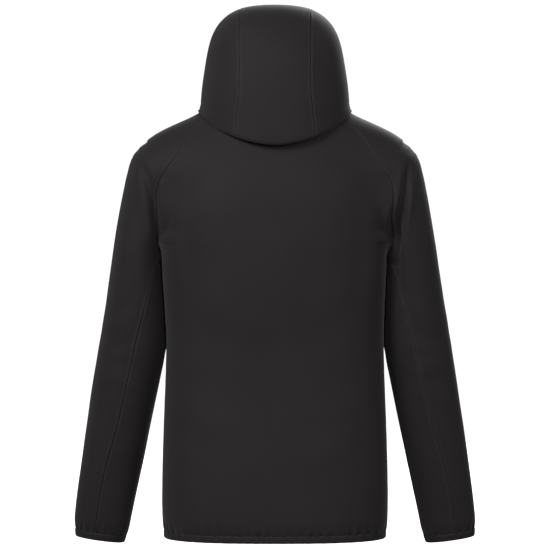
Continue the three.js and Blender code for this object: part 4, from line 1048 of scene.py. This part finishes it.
def copies(name, shape, places, turns):
    """One mesh of many copies of a small shape, each turned and put in its place."""
    points, faces = shape
    all_points = np.einsum("nij,kj->nki", turns, points) + places[:, None]
    count = len(points)
    all_faces = [tuple(i + k * count for i in f) for k in range(len(places)) for f in faces]
    return mesh_of(name, all_points.reshape(-1, 3), all_faces)


def tooth_model():
    """A moulded tooth: a body gripping the tape's cord and a rounded head that reaches past the middle."""
    low, high = np.array([-0.75, -1.5, -0.72]) * MM, np.array([2.4, 0.55, 0.72]) * MM
    bpy.ops.object.select_all(action="DESELECT")
    bpy.ops.mesh.primitive_cube_add(size=1, location=tuple((low + high) / 2))
    bpy.context.object.scale = tuple(high - low)
    tooth = primitive_done("tooth")
    bevelled(0.28 * MM, 2)
    bpy.ops.object.mode_set(mode="EDIT")
    bpy.ops.mesh.select_all(action="DESELECT")
    edit = bmesh.from_edit_mesh(tooth.data)
    for v in edit.verts:
        if v.co.x < 0:
            v.co.z *= 0.8
            v.co.y += 0.1 * MM
    bmesh.update_edit_mesh(tooth.data)
    bpy.ops.object.mode_set(mode="OBJECT")
    return shape_of(tooth)


def teeth(name, side, tooth):
    z = np.arange(HEM_Z + 4.0 + (TOOTH_PITCH / 2 if side < 0 else 0), ZIP_TOP_Z - 2, TOOTH_PITCH)
    z = z[np.abs(z - SLIDER_Z) > 5.5]
    at, n = zip_face(0.55 + zip_opened(z) * 1.7, z)
    at = at - n * 1.15
    across_it = unit(np.cross(n, np.array([0, 0, 1.0])))
    up = np.cross(across_it, n)
    turns = np.stack([across_it, n, up], -1)
    shells[name] = copies(name, tooth, at, turns)
    if side < 0:
        for v in shells[name].data.vertices:
            v.co.x = -v.co.x
        facing_out(shells[name])


zip_tape("zip_tape_right", 1)
zip_tape("zip_tape_left", -1)
tooth = tooth_model()
teeth("zip_teeth_right", 1, tooth)
teeth("zip_teeth_left", -1, tooth)


# Topstitching

STITCH_LENGTH, STITCH_PITCH = 2.3, 3.1


def stitch_model():
    """One stitch of thick thread, sunk at both ends."""
    bpy.ops.object.select_all(action="DESELECT")
    bpy.ops.mesh.primitive_cylinder_add(vertices=6, radius=0.24 * MM, depth=STITCH_LENGTH * MM,
                                        rotation=(math.pi / 2, 0, 0))
    stitch = primitive_done("stitch")
    bevelled(0.09 * MM, 1)
    points, faces = shape_of(stitch)
    points[:, 2] -= 0.16 * (points[:, 1] / (STITCH_LENGTH / 2)) ** 2
    return points, faces


def stitches(name, lines, stitch):
    """A row of stitches along each line, lying along it on the cloth."""
    places, turns = [], []
    for line in lines:
        p, n = line[:, :3], line[:, 3:]
        run = run_of(p)
        at = np.arange(STITCH_PITCH, run[-1] - STITCH_PITCH, STITCH_PITCH)
        q = np.column_stack([np.interp(at, run, p[:, k]) for k in range(3)])
        m = unit(np.column_stack([np.interp(at, run, n[:, k]) for k in range(3)]))
        ahead = unit(np.gradient(q, axis=0))
        over = unit(np.cross(ahead, m))
        ahead = np.cross(m, over)
        places.append(q)
        turns.append(np.stack([over, ahead, m], -1))
    return copies(name, stitch, np.vstack(places), np.concatenate(turns))


stitch = stitch_model()
threads = {}
for carrier in dict.fromkeys(name for name, _ in stitch_lines):
    lines = [line for name, line in stitch_lines if name == carrier]
    threads[carrier] = stitches(carrier + "_stitching", lines, stitch)


# Materials

class Value:
    """A shader value that takes part in ordinary arithmetic; each operation is one Math node."""

    def __init__(self, tree, socket):
        self.tree, self.socket = tree, socket

    def math(self, operation, other):
        return arithmetic(self.tree, operation, self, other)

    def __add__(self, other):
        return self.math("ADD", other)

    def __radd__(self, other):
        return self.math("ADD", other)

    def __sub__(self, other):
        return self.math("SUBTRACT", other)

    def __rsub__(self, other):
        return arithmetic(self.tree, "SUBTRACT", other, self)

    def __mul__(self, other):
        return self.math("MULTIPLY", other)

    def __rmul__(self, other):
        return self.math("MULTIPLY", other)

    def clamped(self):
        return self.math("MINIMUM", 1.0).math("MAXIMUM", 0.0)


def put_in(socket, value):
    """Gives a socket a constant, or a link from another node."""
    if isinstance(value, Value):
        value.tree.links.new(value.socket, socket)
    else:
        socket.default_value = value


def arithmetic(tree, operation, *values):
    node = tree.nodes.new("ShaderNodeMath")
    node.operation = operation
    for socket, value in zip(node.inputs, values):
        put_in(socket, value)
    return Value(tree, node.outputs[0])


class Finish:
    """One procedural material and its nodes."""

    def __init__(self, name, **constants):
        self.material = bpy.data.materials.new(name)
        self.material.use_nodes = True
        self.tree = self.material.node_tree
        self.shader = self.tree.nodes["Principled BSDF"]
        for socket, value in constants.items():
            self.shader.inputs[socket.replace("_", " ")].default_value = value

    def node(self, kind, settings=None, output=0, **inputs):
        made = self.tree.nodes.new(kind)
        for key, value in (settings or {}).items():
            setattr(made, key, value)
        for key, value in inputs.items():
            put_in(made.inputs[key.replace("_", " ")], value)
        return Value(self.tree, made.outputs[output])

    def noise(self, scale, detail, roughness):
        place = self.node("ShaderNodeTexCoord", output="Object")
        return self.node("ShaderNodeTexNoise", Vector=place, Scale=scale, Detail=detail, Roughness=roughness)

    def blend(self, a, b, factor):
        made = self.tree.nodes.new("ShaderNodeMix")
        made.data_type = "RGBA"
        for socket, value in (("Factor", factor), (6, a), (7, b)):
            put_in(made.inputs[socket], value)
        return Value(self.tree, made.outputs[2])

    def feed(self, socket, value):
        self.tree.links.new(value.socket, self.shader.inputs[socket])

    def bump(self, height, distance, strength):
        self.feed("Normal", self.node("ShaderNodeBump", Height=height, Distance=distance, Strength=strength))

    def put_on(self, *pieces):
        for piece in pieces:
            piece.data.materials.clear()
            piece.data.materials.append(self.material)


def tone(r, g, b):
    return (r, g, b, 1.0)


def grained(name, grain, dark, light, rough, bump=None, shade=None, **constants):
    """A material whose fine grain varies its roughness, and its colour where no other shade is given."""
    f = Finish(name, **constants)
    fine = f.noise(*grain)
    f.feed("Base Color", f.blend(tone(*dark), tone(*light), shade(f, fine) if shade else fine))
    f.feed("Roughness", (rough[0] + fine * rough[1]).clamped())
    if bump:
        f.bump(fine, *bump)
    return f


def softshell_finish():
    """Matte woven softshell: near black with a warm cast, a fine grain, faint mottling, and a painted
    highlight over the seam allowances.
    """
    f = Finish("softshell_cloth", Sheen_Weight=0.22, Sheen_Roughness=0.45, Specular_IOR_Level=0.32)
    weave, slubs, cloud = f.noise(1500.0, 2.0, 0.6), f.noise(420.0, 2.0, 0.55), f.noise(16.0, 3.0, 0.5)
    # Painted highlight: the mask from the panels, over the seam allowances.
    seam_highlight = f.node("ShaderNodeAttribute", {"attribute_name": "seam_highlight"}, output="Fac")
    shade = (weave * 0.5 + slubs * 0.3 + cloud * 0.5 - 0.32).clamped()
    cloth = f.blend(tone(0.0205, 0.0160, 0.0190), tone(0.0345, 0.0275, 0.0320), shade)
    # Painted highlight: a lighter tone mixed in over the seam allowances, standing for light catching their
    # ridges.
    f.feed("Base Color", f.blend(cloth, tone(0.042, 0.036, 0.040), (seam_highlight * 0.35).clamped()))
    f.feed("Roughness", (0.66 + weave * 0.12 - seam_highlight * 0.08).clamped())
    f.bump(weave * 0.6 + slubs * 0.4, 0.00025, 0.5)
    return f


softshell = softshell_finish()
elastic = grained("elastic_binding", (1700.0, 2.0, 0.6), (0.0145, 0.0125, 0.014), (0.027, 0.0235, 0.026),
                  (0.6, 0.16), (0.0002, 0.5),
                  lambda f, fine: (fine * 0.6 + f.noise(60.0, 2.0, 0.5) * 0.5 - 0.1).clamped(),
                  Sheen_Weight=0.15, Sheen_Roughness=0.5, Specular_IOR_Level=0.3)
thread = grained("topstitch_thread", (2600.0, 1.0, 0.5), (0.018, 0.015, 0.017), (0.031, 0.027, 0.030),
                 (0.5, 0.2), Sheen_Weight=0.1, Specular_IOR_Level=0.4)
tape = grained("zip_tape_weave", (2000.0, 2.0, 0.6), (0.011, 0.010, 0.011), (0.021, 0.019, 0.0205),
               (0.62, 0.18), (0.0002, 0.5), Specular_IOR_Level=0.3)
teeth_plastic = grained("zip_teeth_moulded", (900.0, 2.0, 0.5), (0.013, 0.012, 0.013), (0.022, 0.020, 0.022),
                        (0.36, 0.16), Specular_IOR_Level=0.5)
metal = grained("zip_slider_plated", (700.0, 3.0, 0.6), (0.05, 0.05, 0.053), (0.14, 0.14, 0.145),
                (0.3, 0.2), (0.0001, 0.3), lambda f, fine: (f.noise(180.0, 2.0, 0.5) * 1.6 - 0.5).clamped(),
                Metallic=1.0)

cloth_names = [name for name in shells if name.endswith("_cloth")]
band_names = [name for name in shells if name.endswith("_band")]
softshell.put_on(*(shells[name] for name in cloth_names))
elastic.put_on(*(shells[name] for name in band_names))
tape.put_on(shells["zip_tape_right"], shells["zip_tape_left"])
teeth_plastic.put_on(shells["zip_teeth_right"], shells["zip_teeth_left"])
thread.put_on(*threads.values())
metal.put_on(nodes["zip_slider"], nodes["zip_pull_tab"])

for piece in (*shells.values(), *threads.values()):
    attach(piece, "jacket")
for names, ending, slot in ((cloth_names, "_cloth", "softshell"), (band_names, "_band", "elastic")):
    for name in names:
        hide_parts(name.removesuffix(ending))
for side in ("right", "left"):
    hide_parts("zip_" + side)


# Floor, light and camera

FLOOR_Z = -0.8


def floor_and_backdrop():
    bpy.ops.object.select_all(action="DESELECT")
    bpy.ops.mesh.primitive_circle_add(vertices=96, radius=9, fill_type="NGON", location=(0, 0, FLOOR_Z))
    ground = primitive_done("floor")
    Finish("pale_floor", Base_Color=tone(0.9, 0.9, 0.9), Roughness=0.9, Emission_Color=tone(1, 1, 1),
           Emission_Strength=1.0).put_on(ground)
    bpy.ops.object.select_all(action="DESELECT")
    bpy.ops.mesh.primitive_uv_sphere_add(segments=64, ring_count=32, radius=9.5)
    backdrop = primitive_done("backdrop")
    Finish("white_backdrop", Base_Color=tone(0, 0, 0), Emission_Color=tone(1, 1, 1),
           Emission_Strength=1.05).put_on(backdrop)
    for paper in (ground, backdrop):
        paper.visible_diffuse = paper.visible_glossy = paper.visible_transmission = False
    backdrop.visible_shadow = False


def soft_light(name, place, aim, size, watts):
    light = bpy.data.lights.new(name, "AREA")
    light.shape = "DISK"
    light.size = size
    light.energy = watts
    lamp = bpy.data.objects.new(name, light)
    lamp.location = place
    lamp.rotation_euler = (Vector(aim) - Vector(place)).to_track_quat("-Z", "Y").to_euler()
    bpy.context.scene.collection.objects.link(lamp)


floor_and_backdrop()
soft_light("key_upper_left", (-2.0, -2.7, 1.5), (0, 0, -0.3), 1.5, 62)
soft_light("fill_behind", (1.2, -3.6, 0.5), (0, 0, -0.35), 1.8, 29)
soft_light("fill_right", (2.8, -1.8, 1.0), (0, 0, -0.4), 1.4, 6)
soft_light("front_fill", (0.8, 2.6, 1.5), (0, 0, -0.3), 1.8, 50)

world = bpy.data.worlds.new("studio")
world.use_nodes = True
world.node_tree.nodes["Background"].inputs["Color"].default_value = (1, 1, 1, 1)
world.node_tree.nodes["Background"].inputs["Strength"].default_value = 0.10
bpy.context.scene.world = world
bpy.context.scene.view_settings.view_transform = "Standard"

camera_data = bpy.data.cameras.new("camera")
camera_data.lens = LENS_MM
camera_data.sensor_width = 36
camera = bpy.data.objects.new("camera", camera_data)
camera.location = (0, -CAMERA_AWAY, CAMERA_HEIGHT)
camera.rotation_euler = (math.pi / 2, 0, 0)
bpy.context.scene.collection.objects.link(camera)
bpy.context.scene.camera = camera
